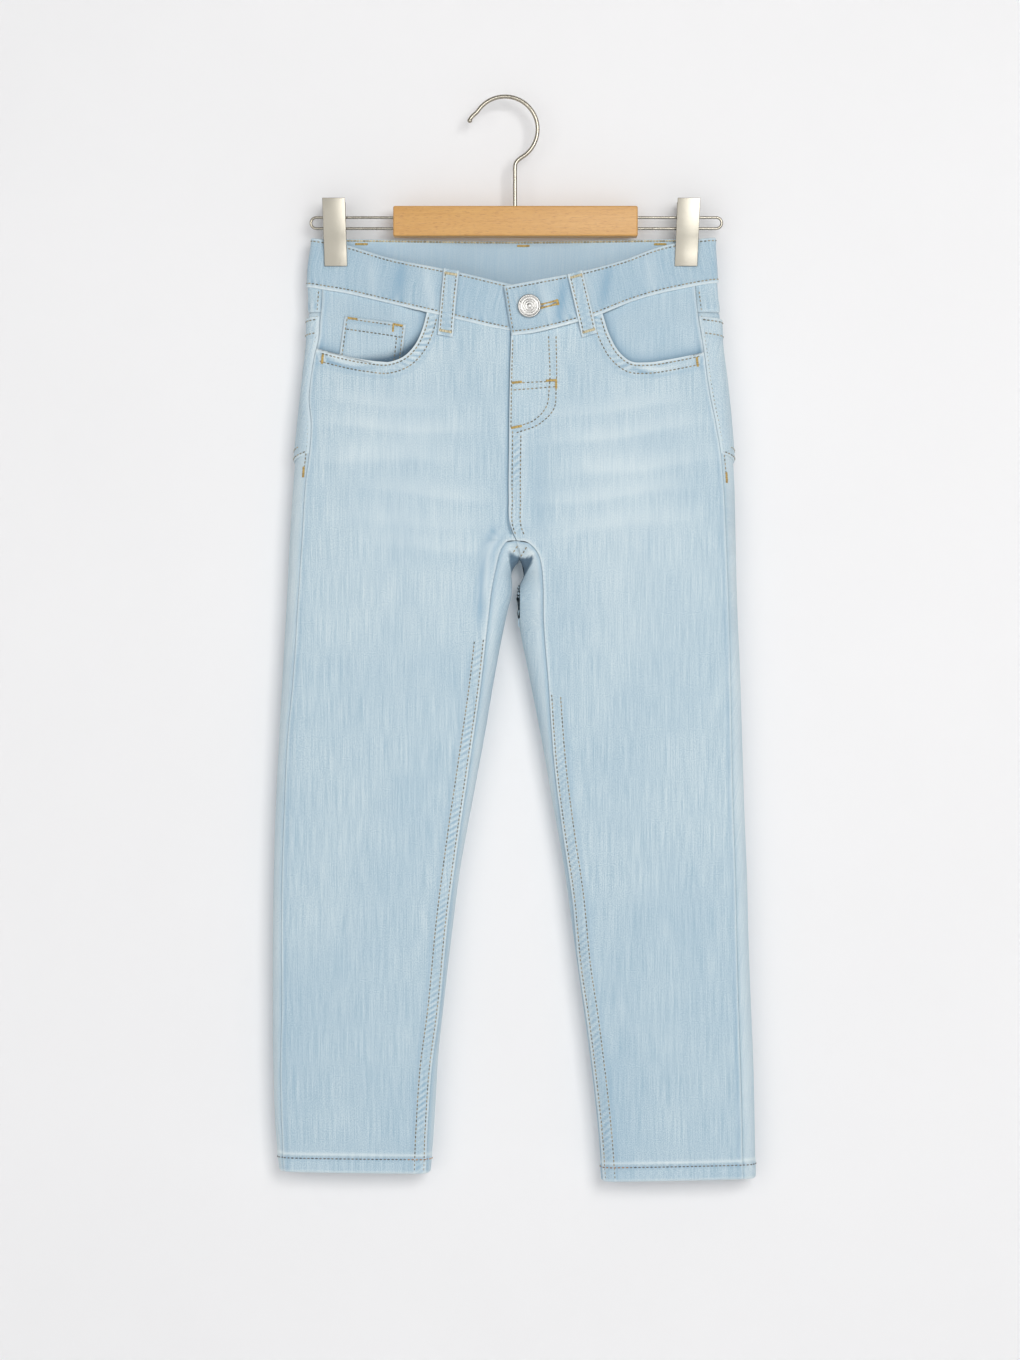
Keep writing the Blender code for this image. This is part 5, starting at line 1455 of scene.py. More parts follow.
for side in SIDES:
    width = BACK_POCKET["inner"] - BACK_POCKET["outer"]
    across = shares(width, EDGE_STEPS[:6], EDGE_STEPS[:6], 58)
    down = shares(BACK_POCKET_SIDE, EDGE_STEPS[:6], EDGE_STEPS[:6], 62).T
    across, down = np.broadcast_arrays(across, down)
    x, drop, face, level = back_pocket_place(side, across, down)
    inset = np.minimum(np.minimum(across, 1 - across) * width, (1 - down) * BACK_POCKET_SIDE)
    mouth = down * BACK_POCKET_SIDE
    waves = ripple(across * width + mouth, 5.0, 1.0)
    pale = 0.15 + 0.5 * hump(np.minimum(inset, mouth), 0.4, 1.2)
    pale += 0.3 * tops(waves) * hump(inset, 4.5, 2.6)
    # The dark line just under the mouth's turned edge is partly kept blue and partly painted shadow.
    deep = 0.4 * hollows(waves) * hump(inset, 4.5, 2.6) + 0.3 * hump(mouth, 14.6, 1.2)
    rise = 0.3 * (1 - ease((mouth - 13) / 1.6)) + 0.12 * waves * hump(inset, 4.5, 2.6)
    rise = rise - 0.45 * hump(inset, 0, 3.0)
    rise = rise - 1.1 * hump(across * width, 0, 2.4)
    wash_and_shade = (pale, deep, 0 * pale)
    sew(f"back_pocket_{side}", (x, drop, face), level + rise, PATCH_THICKNESS, wash_and_shade)
print("patches sewn:", [name for name in counts if "pocket" in name])

# %% [markdown]
# ## The waistband and its loops
# The waistband is one straight strip, so when it is closed with the button its front sinks and its back
# stays level. Its two edges are listed station by station round the waist. The flap end lies over the
# button end, which is why the list starts and ends at the centre front at two different levels.

# %% Sewing the waistband
BAND_ROWS = 15


def band_lattice():
    """The waistband's places all round, and how far the flap and the button end lie off the skin."""
    ring, face, lift = band_ring()
    share = shares(BAND_HEIGHT, SHORT_STEPS, SHORT_STEPS, BAND_ROWS).T
    top_x, top_drop, bottom_x, bottom_drop = (column[None, :] for column in ring.T)
    drop = top_drop + (bottom_drop - top_drop) * share
    x = top_x + (bottom_x - top_x) * share
    bulge = np.zeros_like(x)
    for side, sign in SIDES.items():
        close = np.abs(sign * edge_x(side, drop[0]) - sign * x[0]) < 16
        ends = [sign * (edge_x(side, drop[row]) - x[row]) for row in (0, -1)]
        inset = ends[0] + (ends[1] - ends[0]) * share
        bulge = np.where(close[None, :], edge_x(side, drop) - sign * inset - x, bulge)
    share = np.broadcast_to(share, x.shape)
    return (x + bulge, drop, np.broadcast_to(face, x.shape)), np.broadcast_to(lift, x.shape), share


# The band's creases on the front: place, share of its height, half sizes, lean and height.
BAND_CREASES = table(
    "x share length width lean rise",
    (22, 0.35, 0.5, 3.0, 8, 0.55),
    (33, 0.55, 0.5, 3.2, -6, -0.60),
    (52, 0.45, 0.6, 3.4, 6, 0.50),
    (66, 0.40, 0.5, 4.0, -5, -0.50),
    (-62, 0.50, 0.6, 4.2, 6, 0.45),
    (-84, 0.45, 0.5, 4.6, -5, -0.50),
    (-104, 0.50, 0.6, 4.4, 4, 0.40),
    (98, 0.50, 0.5, 4.4, 4, 0.40),
)


def band_relief(x, face, share):
    """Puckers along the waistband's two rows of stitches, and its few creases."""
    from_top, from_bottom = share * BAND_HEIGHT, (1 - share) * BAND_HEIGHT
    upper, lower = ripple(x, 5.2, 1.0), ripple(x, 4.7, 2.4)
    rise = 0.2 * upper * hump(from_top, 3.4, 2.6) + 0.28 * lower * hump(from_bottom, 3.6, 3.2)
    rise += 0.5 * hump(from_bottom, 0.6, 1.5)
    lit, shaded = np.zeros(x.shape), np.zeros(x.shape)
    for crease in zip(*BAND_CREASES.values()):
        place, level, length, width, lean, height = crease
        across = (x - place - lean * (share - level)) / width
        fold = np.where(face < 0, height * hump(share, level, length) * np.exp(-(across**2)), 0)
        rise, lit, shaded = rise + fold, lit + tops(fold), shaded + hollows(fold)
    pale = 0.6 * hump(from_top, 0.4, 1.3) + 0.9 * hump(from_bottom, 0.5, 1.5) + 0.8 * lit
    pale += 0.3 * tops(lower) * hump(from_bottom, 3.6, 3.4)
    deep = 0.6 * hollows(lower) * hump(from_bottom, 4.0, 3.0) + 0.26 + 1.2 * shaded
    return rise, (pale, deep, 0 * deep)


lattice, lift, share = band_lattice()
rise, wash_and_shade = band_relief(lattice[0], lattice[2], share)
sew("waistband", lattice, BAND_OUTSIDE + lift + rise, BAND_THICKNESS, wash_and_shade)
band_share = share
print("waistband:", counts["waistband_cloth"], "triangles")

# %% Sewing the belt loops
LOOP_WIDTH = 11.0
LOOP_THICKNESS = 1.6
LOOP_LENGTH = 50.0

# The middle of each loop's top and of its lower end, and its face.
LOOPS = {
    "belt_loop_front_left": (-45.8, 23.6, -50.4, 72.4, -1),
    "belt_loop_front_right": (43.0, 25.6, 53.9, 72.0, -1),
    "belt_loop_back_left": (-112.0, -0.8, -112.0, 50.0, 1),
    "belt_loop_back_centre": (6.2, -0.8, 5.4, 50.0, 1),
    "belt_loop_back_right": (106.0, -0.8, 106.0, 50.0, 1),
}
# How far the two front loops' ends slant, as their waistband does.
LOOP_TILT = {"belt_loop_front_left": 0.18, "belt_loop_front_right": -0.3}


def loop_place(name, down, aside):
    """A place on a belt loop: its share down the loop and its distance from the middle."""
    top_x, top_drop, end_x, end_drop, face = LOOPS[name]
    drop = top_drop + 0.6 + (end_drop - top_drop - 0.6) * down
    middle = top_x + (end_x - top_x) * down
    x = middle + aside
    drop = drop + aside * LOOP_TILT.get(name, 0.0)
    band = BAND_OUTSIDE + (flap_lift(top_x + aside) if name.endswith("front_right") else 0)
    past = ease((down - 0.76) / 0.2)
    slack = 0.8 * np.sin(np.minimum(down / 0.75, 1) * math.pi)
    level = SEAM_GAP + (band + 0.25) * (1 - past) + 0.2 * past + slack + LOOP_THICKNESS
    return x, drop, np.full(np.shape(x), face), level


for name in LOOPS:
    down = shares(LOOP_LENGTH, SHORT_STEPS, SHORT_STEPS, 44).T
    aside = (shares(LOOP_WIDTH, SHORT_STEPS, SHORT_STEPS, 6) - 0.5) * LOOP_WIDTH
    x, drop, face, level = loop_place(name, down, aside)
    edge = np.broadcast_to(LOOP_WIDTH / 2 - np.abs(aside), x.shape)
    waves = ripple(down * LOOP_LENGTH + 3 * np.sign(aside), 4.6, LOOPS[name][0])
    rise = 0.22 * hump(edge, 0.8, 1.1) + 0.16 * waves * hump(edge, 2.6, 1.6)
    pale = 0.75 * hump(edge, 0.5, 0.9) + 0.3 * tops(waves) * hump(edge, 2.8, 1.6)
    deep = 0.4 * hollows(waves) * hump(edge, 2.8, 1.8) + 0.25 * hump(edge, 5.5, 2.0)
    sew(name, (x, drop, face), level + rise, LOOP_THICKNESS, (pale, deep, 0 * pale))
print("loops:", len(LOOPS), "of", LOOP_WIDTH, "mm")

# %% [markdown]
# ## Thread
# A lockstitch shows as a row of short, plump loops that dip into the cloth at both ends. Each stitch is a
# small ellipsoid: one is made with the sphere operator, an Array modifier repeats it, and the copies are
# then laid along their seam, each with its own place, direction and tone. A bar tack is a dozen longer
# threads side by side. Real thread would be a twisted rope, but at a third of a millimetre only its colour
# and its shadow can be seen.

# %% Thread materials and the stitch maker
PITCH = 2.9
STITCH = 2.1
THREAD_RADIUS = 0.46
SEED_RADIUS = 0.4
dice = np.random.default_rng(7)


def thread_look(name, light, dark):
    """Matt cotton-wrapped thread whose tone changes from stitch to stitch."""
    made, tree, shader, coordinates = new_look(name)
    tone = add(tree, "ShaderNodeAttribute", attribute_name="tone")
    fuzz = stretched_noise(tree, coordinates["Object"], (0.5, 0.5, 0.5), 2.0)
    mixed = maths(tree, "MULTIPLY_ADD", fuzz, 0.4, maths(tree, "SUBTRACT", tone.outputs["Fac"], 0.2))
    surfaced(tree, shader, blended(tree, mixed, dark, light), fuzz, 0.5, 0.0001, (0.6, 0.8))
    return made


stone_thread = thread_look("stone_thread", linear(176, 164, 138), linear(102, 102, 92))
gold_thread = thread_look("gold_thread", linear(212, 180, 104), linear(158, 132, 80))
hem_thread = thread_look("hem_thread", linear(132, 128, 122), linear(84, 86, 90))
rust_thread = thread_look("rust_thread", linear(198, 150, 100), linear(140, 104, 80))
rope_thread = thread_look("rope_thread", linear(222, 211, 176), linear(162, 152, 124))


def seed_copies(name, count):
    """A mesh of many seeds in a row, one unit apart, from one ellipsoid and an Array modifier."""
    bm = bmesh.new()
    bmesh.ops.create_uvsphere(bm, u_segments=6, v_segments=5, radius=SEED_RADIUS)
    bmesh.ops.rotate(bm, verts=bm.verts, cent=(0, 0, 0), matrix=Matrix.Rotation(math.pi / 2, 3, "Y"))
    seed = linked("seed", meshed("seed", bm))
    rows = seed.modifiers.new("row", "ARRAY")
    rows.use_relative_offset = False
    rows.use_constant_offset = True
    rows.constant_offset_displace = (1, 0, 0)
    rows.count = count
    graph = bpy.context.evaluated_depsgraph_get()
    made = bpy.data.meshes.new_from_object(seed.evaluated_get(graph))
    made.name = name
    bpy.data.objects.remove(seed)
    return made


def unit(vectors):
    return vectors / np.maximum(np.linalg.norm(vectors, axis=-1, keepdims=True), 1e-9)


def run_of(x, drop, face, level, pitch=PITCH, stitch=STITCH, inside=False):
    """Stitches along a line on the cloth: the middle, direction and outward way of each, and its length."""
    x, drop, face, level = np.broadcast_arrays(x, drop, face, level)
    place = skin(x, drop, face, level)
    out = skin(x, drop, face, level + 1.0) - place
    if inside:
        out = -out
    along = np.concatenate([[0], np.cumsum(np.linalg.norm(np.diff(place, axis=0), axis=1))])
    count = max(int(along[-1] / pitch), 1)
    middle = (np.arange(count) + 0.5) * along[-1] / count
    middle = middle + dice.uniform(-0.12, 0.12, count)
    half = stitch / 2 * dice.uniform(0.92, 1.06, count)

    def at(distance, values):
        return np.stack([np.interp(distance, along, column) for column in values.T], axis=-1)

    first, last = at(middle - half, place), at(middle + half, place)
    centre = (first + last + at(middle, place)) / 3
    return np.hstack([centre, unit(last - first), unit(at(middle, out)), half[:, None]])


def tack_of(start, end, width, face, level, pitch=0.42, inside=False):
    """A bar tack from start to end: close threads laid across it."""
    start, end = np.array(start, float), np.array(end, float)
    count = max(int(np.linalg.norm(end - start) / pitch), 2)
    middle = start + (end - start) * np.linspace(0, 1, count)[:, None]
    across = unit(np.array([end[1] - start[1], start[0] - end[0]])) * width / 2
    rows = []
    for place in middle:
        line = place + np.array([-across, 0 * across, across])
        lie = level(line[:, 0], line[:, 1]) if callable(level) else level
        rows.append(run_of(line[:, 0], line[:, 1], face, lie, width * 1.1, width, inside)[:1])
    return np.vstack(rows)


def lay_stitches(name, rows, look, radius=THREAD_RADIUS):
    """One piece with every stitch of the rows."""
    rows = np.vstack(rows)
    mesh = seed_copies(name, len(rows))
    seeds = read(mesh.vertices, "co", 3)
    number = np.rint(seeds[:, 0]).astype(int)
    local = (seeds - np.stack([number, 0 * number, 0 * number], -1)) / SEED_RADIUS
    centre, along, out, half = rows[:, :3], rows[:, 3:6], rows[:, 6:9], rows[:, 9]
    out = unit(out - along * np.sum(out * along, axis=1, keepdims=True))
    side = np.cross(out, along)
    place = centre[number] + out[number] * (radius * 0.35 + local[:, 2:] * radius)
    place = place + along[number] * (local[:, :1] * half[number, None]) + side[number] * local[:, 1:2] * radius
    mesh.vertices.foreach_set("co", (place * MM).astype(np.float32).ravel())
    tone = mesh.attributes.new("tone", "FLOAT", "POINT")
    tone.data.foreach_set("value", dice.uniform(0, 1, len(rows))[number].astype(np.float32))
    mesh.materials.clear()
    mesh.materials.append(look)
    mesh.shade_smooth()
    mesh.update()
    counts[name] = sum(len(face.vertices) - 2 for face in mesh.polygons)
    return dress(linked(name, mesh), "thread")


def front_level(side):
    """The level of a front's cloth, for what is laid on it."""
    return lambda x, drop: front_relief(side, np.asarray(x, float), np.asarray(drop, float))[0]


def line_run(line, level, face=-1, **settings):
    """Stitches along a line of places."""
    line = spaced(np.asarray(line, float), max(int(np.linalg.norm(np.diff(line, axis=0), axis=1).sum()), 3) * 2)
    lie = level(line[:, 0], line[:, 1]) if callable(level) else level
    return run_of(line[:, 0], line[:, 1], face, lie, **settings)


print("a stitch is", STITCH, "mm long, one every", PITCH, "mm")

# %% [markdown]
# ## Where the stitches go
# Every row is named by the seam that it holds: its distance from the edge is the width of a sewing
# machine's foot or of its twin needle. The rows ask the same relief functions as the cloth, so they ride up
# and down over every pucker.

# %% Waistband stitches
def at_share(values, wanted):
    """A row of the waistband's lattice at one share of its height."""
    return np.array([np.interp(wanted, band_share[:, j], values[:, j]) for j in range(values.shape[1])])


def band_row(from_top, keep):
    rows = [at_share(values, from_top / BAND_HEIGHT) for values in sewn["waistband"]]
    return [values[keep] for values in rows]


ring_face = sewn["waistband"][2][0]
ring_x = sewn["waistband"][0][0]
stations = np.arange(len(ring_x))
shown = (stations < RIGHT_STATIONS + 2 * TURN_STATIONS + BACK_STATIONS) | (ring_x < -6)
shown &= stations > 1
rows = [run_of(*band_row(2.4, shown)), run_of(*band_row(BAND_HEIGHT - 3.0, shown))]
flap = [values[:, 1] + (values[:, 2] - values[:, 1]) * 0.3 for values in sewn["waistband"]]
rows.append(run_of(*[values[4:-4] for values in flap]))
lay_stitches("waistband_stitches", rows, stone_thread)

behind = (ring_face > 0) & (np.abs(ring_x) < 146)
x, drop, face, level = band_row(1.3, behind)
inner = run_of(x, drop, face, level - BAND_THICKNESS, pitch=2.3, stitch=2.3, inside=True)
inner_level = BAND_OUTSIDE - BAND_THICKNESS
tacks = [
    tack_of((place - 4.2, 3.6), (place + 4.2, 3.6), 1.7, 1, inner_level, inside=True)
    for place, _, _, _, loop_face in LOOPS.values()
    if loop_face > 0
]
lay_stitches("waistband_inner_stitches", [inner], rope_thread, 0.72)
lay_stitches("waistband_inner_tacks", tacks, gold_thread)

# %% Fly stitches
FLY_INNER = np.array([(24.3, 72), (24.7, 110.9), (22.8, 123.3), (13.8, 133.4), (-0.7, 138.5)])
FLY_OUTER_ROW = np.array([(29.7, 72), (29.7, 110.9), (28.3, 124.7), (17.8, 135.9), (0.4, 142.8)])
right_level = front_level("right")


def fly_edge(offset, top, bottom):
    drop = np.linspace(top, bottom, 90)
    return np.stack([smooth(CENTRE_FRONT, "x", drop) - FLY_OVERLAP + offset, drop], axis=-1)


lines = [
    rounded(FLY_INNER),
    rounded(FLY_OUTER_ROW),
    fly_edge(1.5, 75, 139),
    [(-1.5, 106.6), (29.7, 105.1)],
    [(-1.5, 111.7), (29.7, 109.1)],
    fly_edge(2.7, 141, CENTRE_SEAM_DROP),
    fly_edge(8.8, 144, CENTRE_SEAM_DROP),
]
lay_stitches("fly_stitches", [line_run(line, right_level) for line in lines], stone_thread)
tacks = [
    tack_of((-2.0, 106.4), (4.6, 105.8), 1.9, -1, right_level),
    tack_of((22.8, 104.8), (29.9, 104.4), 1.9, -1, right_level),
    tack_of((29.7, 104.6), (29.7, 110.2), 1.7, -1, right_level),
    tack_of((-2.6, 139.0), (4.6, 137.6), 1.9, -1, right_level),
]
lay_stitches("fly_tacks", tacks, gold_thread)

# %% Pocket, seam and hem stitches
# Where the rust-coloured part of the hem's row ends, the top of the pocket's bar tack, and how far down
# the side seam's row goes.
RUST_END = {"left": 78.0, "right": 84.0}
POCKET_TACKS = {"left": (-139.4, 85.4), "right": (131.9, 87.5)}
SIDE_ROW_END = {"left": 168.0, "right": 172.0}
for side, sign in SIDES.items():
    level = front_level(side)
    edge = POCKETS[side]
    rows = []
    for offset in (2.2, 8.0):
        line = moved_aside(edge, -sign * offset)
        line = line[line[:, 1] > band_lower_edge(side, line[:, 0], -1) + 1.5]
        line = line[sign * line[:, 0] < sign * smooth(OUTSEAM, side, line[:, 1]) - 3.0]
        rows.append(line_run(line, level))
    lay_stitches(f"pocket_stitches_{side}", rows, stone_thread)
    start = POCKET_TACKS[side]
    tack = tack_of(start, (start[0] + sign * 0.6, start[1] + 6.2), 1.9, -1, level)
    lay_stitches(f"pocket_tack_{side}", [tack], gold_thread)

    rows = []
    for offset in (1.9, 8.2):
        line = moved_aside(INSEAMS[side], sign * offset)
        line = line[(line[:, 1] > FELL_START[side] + 6) & (line[:, 1] < hem_drop(side, line[:, 0]) - 1.5)]
        rows.append(line_run(line, level))
    lay_stitches(f"inseam_stitches_{side}", rows, stone_thread)

    end_drop = SIDE_ROW_END[side]
    drop = np.linspace(YOKE_SIDE_DROP + 2, end_drop, 120)
    line, yoke_line = (
        np.stack([smooth(OUTSEAM, side, at) + sign * 2.4, at], axis=-1) for at in (drop, drop[:1] - 18)
    )
    rows = [line_run(line, 0.0), line_run(np.vstack([yoke_line, line[:1] - [0, 3]]), 0.0)]
    lay_stitches(f"outseam_stitches_{side}", rows, stone_thread)
    foot = (smooth(OUTSEAM, side, end_drop) + sign * 2.6, end_drop - 1)
    tack = tack_of(foot, (foot[0] + sign * 0.4, foot[1] + 7.0), 2.0, -1, 0.1)
    lay_stitches(f"outseam_tack_{side}", [tack], gold_thread)

    rows = []
    for name in (f"front_{side}", f"back_{side}"):
        rows.append(run_of(*[values[-HEM_ROWS, 2:-2] for values in sewn[name]]))
    rows = np.vstack(rows)
    rusty = sign * rows[:, 0] < RUST_END[side]
    lay_stitches(f"hem_stitches_{side}", [rows[~rusty]], hem_thread)
    lay_stitches(f"hem_rust_stitches_{side}", [rows[rusty]], rust_thread)

# %% Coin pocket, loops and seat stitches
coin_top, coin_right, _, coin_left = coin_edges
def coin_lie(x, drop):
    return coin_level(x, drop) + 0.1


down_way = unit(coin_left[1] - coin_left[0])
top_row = coin_top + [[2.0, 1.9], [-2.0, 1.9]]
rows = [line_run(top_row, coin_lie), line_run(top_row + down_way * 7.6, coin_lie)]
for edge, inward in ((coin_left, 1.9), (coin_right, -1.9)):
    rows.append(line_run(edge + [inward, 1.5], coin_lie))
rows.append(line_run(coin_right + [-6.6, 9.0], coin_lie))
lay_stitches("coin_pocket_stitches", rows, stone_thread)
tacks = [
    tack_of((-121.0, 58.6), (-114.6, 59.5), 1.7, -1, coin_lie),
    tack_of((-88.2, 63.4), (-81.6, 64.4), 1.7, -1, coin_lie),
    tack_of((-88.0, 63.6), (-88.4, 68.6), 1.5, -1, coin_lie),
]
lay_stitches("coin_pocket_tacks", tacks, gold_thread)

rows, tacks = [], []
for name, (_, _, _, _, loop_face) in LOOPS.items():
    for aside in (-3.9, 3.9):
        x, drop, face, level = loop_place(name, np.linspace(0.07, 0.94, 60), np.full(60, aside))
        rows.append(run_of(x, drop, face, level + 0.12))
    for down in (0.07, 0.93):
        aside = np.linspace(-4.2, 4.2, 20)
        x, drop, face, level = loop_place(name, down, aside)
        tacks.append(tack_of((x[0], drop[0]), (x[-1], drop[-1]), 2.0, loop_face, float(level.mean()) + 0.1))
lay_stitches("loop_stitches", rows, stone_thread)
lay_stitches("loop_tacks", tacks, rope_thread)

rows = []
for offset in (2.0, 8.0):
    line = seam_line(SEAT_SEAM, "x", YOKE_CENTRE_DROP + 2, APEX_DROP - 4) + [offset, 0]
    rows.append(line_run(line, 0.42, 1))
    for side, sign in SIDES.items():
        x = np.linspace(APEX_X + sign * 2.5, edge_x(side, 60) - sign * 1.5, 160)
        drop = yoke_drop(side, x) - offset
        rows.append(run_of(x, drop, 1, 0.32 * (offset < 8)))
line = seam_line(SEAT_SEAM, "x", BAND_HEIGHT + 2, YOKE_CENTRE_DROP - 2) + [2.0, 0]
rows.append(line_run(line, 0.0, 1))
rows.append(line_run([(-1.8, 229.2), (2.2, 223.4)], 0.42))
rows.append(line_run([(4.2, 231.6), (8.8, 224.4)], 0.42))
lay_stitches("seat_and_yoke_stitches", rows, stone_thread)

# %% Back pocket stitches
for side in SIDES:
    width = BACK_POCKET["inner"] - BACK_POCKET["outer"]
    rows = []
    for inset in (1.8, 7.4):
        a, b = inset / width, inset / BACK_POCKET_SIDE
        path = np.array([(a, 1 - b), (0.5, 1 - b), (1 - a, 1 - b), (1 - a, 0.02)])
        path = np.vstack([spaced(path[i : i + 2] * [width, BACK_POCKET_SIDE], 80) for i in range(3)])
        path = path / [width, BACK_POCKET_SIDE]
        x, drop, face, level = back_pocket_place(side, path[:, 0], path[:, 1])
        rows.append(run_of(x, drop, face, level - 0.25 * (inset < 3)))
    for mouth in (2.4, 12.2):
        across = np.linspace(0.015, 0.985, 160)
        x, drop, face, level = back_pocket_place(side, across, np.full(160, mouth / BACK_POCKET_SIDE))
        rows.append(run_of(x, drop, face, level + 0.3))
    lay_stitches(f"back_pocket_stitches_{side}", rows, stone_thread)
print("stitch pieces:", len([name for name in counts if "stitch" in name or "tack" in name]))

# %% [markdown]
# ## Button and buttonhole
# The shank button is stamped and turned metal: a rolled rim, a fine groove and a slightly domed middle with
# faint rings, all round its axis, so its profile is spun. The buttonhole is cut in the flap and sewn over
# with close gold threads on both sides of the slit, with a bar tack at its blind end.

# %% Metal
def metal_look(name, light, dark, grain, roughness, bump):
    """Nickel-plated metal: grain is the size of its fine marks along X, Y and Z in millimetres."""
    made, tree, shader, coordinates = new_look(name)
    marks = stretched_noise(tree, coordinates["Object"], grain, 3.0, 0.6)
    cloud = stretched_noise(tree, coordinates["Object"], (14.0, 14.0, 14.0), 2.0)
    tone = maths(tree, "MULTIPLY_ADD", marks, 0.6, maths(tree, "MULTIPLY", cloud, 0.4))
    rough = (roughness - 0.07, roughness + 0.07)
    surfaced(tree, shader, blended(tree, tone, dark, light), marks, bump, 0.00005, rough)
    shader.inputs["Metallic"].default_value = 1.0
    return made


wire_metal = metal_look(
    "nickel_wire", linear(190, 184, 170), linear(150, 144, 132), (2.0, 2.0, 9.0), roughness=0.26, bump=0.06
)
plate_metal = metal_look(
    "satin_plate", linear(168, 164, 153), linear(148, 144, 134), (0.12, 0.12, 9.0), roughness=0.36, bump=0.25
)
button_metal = metal_look(
    "satin_button", linear(208, 207, 204), linear(166, 165, 162), (0.5, 0.5, 0.5), roughness=0.34, bump=0.2
)

# %% Turning the button
BUTTON_X, BUTTON_DROP = 10.2, 51.2
BUTTON_RADIUS, BUTTON_HEIGHT, SHANK_RADIUS = 8.5, 3.0, 2.1
cloth_top = BAND_OUTSIDE + FLAP_RISE
foot = BAND_OUTSIDE - UNDERLAP_SINK + SEAM_GAP
cap = cloth_top + SEAM_GAP - foot
r, top = BUTTON_RADIUS, cap + BUTTON_HEIGHT
# From the middle of the shank's foot out to the rim, and back over the face's rings to its middle.
BUTTON_PROFILE = [
    (0, 0), (SHANK_RADIUS, 0), (SHANK_RADIUS, cap), (r - 1.4, cap), (r - 0.5, cap + 0.15),
    (r - 0.1, cap + 0.6), (r, cap + 1.1), (r - 0.05, top - 1.1), (r - 0.3, top - 0.6),
    (r - 0.8, top - 0.32), (r - 1.3, top - 0.42), (r - 1.65, top - 0.75), (r - 1.85, top - 0.9),
    (r - 2.1, top - 0.8), (r - 2.5, top - 0.66), (r - 3.1, top - 0.62), (r - 3.35, top - 0.84),
    (r - 3.7, top - 0.84), (r - 3.95, top - 0.58), (r - 4.6, top - 0.56), (r - 4.85, top - 0.78),
    (r - 5.2, top - 0.78), (r - 5.45, top - 0.5), (r - 6.1, top - 0.48), (r - 6.35, top - 0.68),
    (r - 6.7, top - 0.68), (r - 6.95, top - 0.44), (0, top - 0.4),
]
bm = bmesh.new()
verts = [bm.verts.new((radius, 0, height)) for radius, height in BUTTON_PROFILE]
edges = [bm.edges.new(pair) for pair in zip(verts, verts[1:])]
bmesh.ops.spin(bm, geom=verts + edges, axis=(0, 0, 1), cent=(0, 0, 0), angle=math.tau, steps=96, use_merge=True)
bmesh.ops.remove_doubles(bm, verts=bm.verts[:], dist=1e-5)
bmesh.ops.recalc_face_normals(bm, faces=bm.faces[:])
here = skin(BUTTON_X, BUTTON_DROP, -1, foot)
out = skin(BUTTON_X, BUTTON_DROP, -1, foot + 1.0) - here
along = unit(np.cross(np.cross(out, [1.0, 0, 0]), out))
up = np.cross(out, along)
for vert in bm.verts:
    vert.co = (here + along * vert.co.x + up * vert.co.y + out * vert.co.z) * MM
if bm.calc_volume(signed=True) < 0:
    bmesh.ops.reverse_faces(bm, faces=bm.faces[:])
mesh = meshed("button_cap", bm)
mesh.materials.append(button_metal)
mesh.shade_smooth()
dress(linked("button_cap", mesh), "button_metal", "button")
counts["button_cap"] = len(mesh.polygons) * 2
print("button:", BUTTON_RADIUS * 2, "mm,", len(mesh.polygons), "faces")

# %% Sewing the buttonhole
HOLE_START, HOLE_END = np.array([18.2, 51.4]), np.array([30.6, 48.2])


def flap_lie(x, drop):
    """The level of the flap's cloth, which falls back to the band past the fly."""
    return BAND_OUTSIDE + flap_lift(x) + 0.05


way = unit(HOLE_END - HOLE_START)
across = np.array([way[1], -way[0]])
threads = []
for beside in (-1.25, 1.25):
    threads.append(tack_of(HOLE_START + across * beside, HOLE_END + across * beside, 1.5, -1, flap_lie, 0.5))
threads.append(tack_of(HOLE_END + across * 1.8, HOLE_END - across * 1.8, 2.0, -1, flap_lie, 0.45))
lay_stitches("buttonhole_stitches", threads, gold_thread)
slit_line = np.array([HOLE_START, HOLE_END - way])
slit = line_run(slit_line, lambda x, drop: flap_lie(x, drop) - 0.2, pitch=2.4, stitch=3.2)
lay_stitches("buttonhole_slit", [slit], hem_thread, 0.4)
print("buttonhole:", round(float(np.linalg.norm(HOLE_END - HOLE_START)), 1), "mm to its bar tack")

# %% [markdown]
# ## The hanger
# A clip hanger is a beech bar with a hook of bent nickel-plated wire, a hairpin of thinner wire out of each
# end and two folded steel clips. Bent wire is a curve with a round bevel: sweeping it keeps its thickness
# even through every bend. The clips are their solids with rolled edges, because folded sheet never has a
# sharp corner, and the bar is a block with eased edges.

# %% Beech
def beech():
    """Lacquered beech: long soft bands and short dark flecks along the bar."""
    made, tree, shader, coordinates = new_look("lacquered_beech")
    place = coordinates["Object"]
    drift = stretched_noise(tree, place, (40.0, 8.0, 8.0), 2.0)
    shift = add(tree, "ShaderNodeCombineXYZ", {2: maths(tree, "MULTIPLY", drift, 0.004)})
    bent = add(tree, "ShaderNodeVectorMath", {0: place, 1: shift.outputs[0]}).outputs[0]
    bands = stretched_noise(tree, bent, (60.0, 3.0, 1.8), 3.0, 0.6)
    flecks = stretched_noise(tree, bent, (3.4, 0.8, 0.42), 2.0, 0.5)
    pores = stretched_noise(tree, bent, (9.0, 0.4, 0.22), 2.0, 0.6)
    colour = blended(tree, bands, linear(221, 173, 101), linear(195, 140, 72))
    dark = ranged(tree, flecks, (0.0, 0.6), (0.54, 0.72))
    colour = blended(tree, dark, colour, linear(172, 118, 70))
    light = ranged(tree, pores, (0.0, 0.35), (0.55, 0.8))
    colour = blended(tree, light, colour, linear(240, 206, 156))
    surfaced(tree, shader, colour, flecks, 0.25, 0.00008, (0.4, 0.52))
    shader.inputs["Coat Weight"].default_value = 0.15
    shader.inputs["Coat Roughness"].default_value = 0.3
    return made


beech_wood = beech()

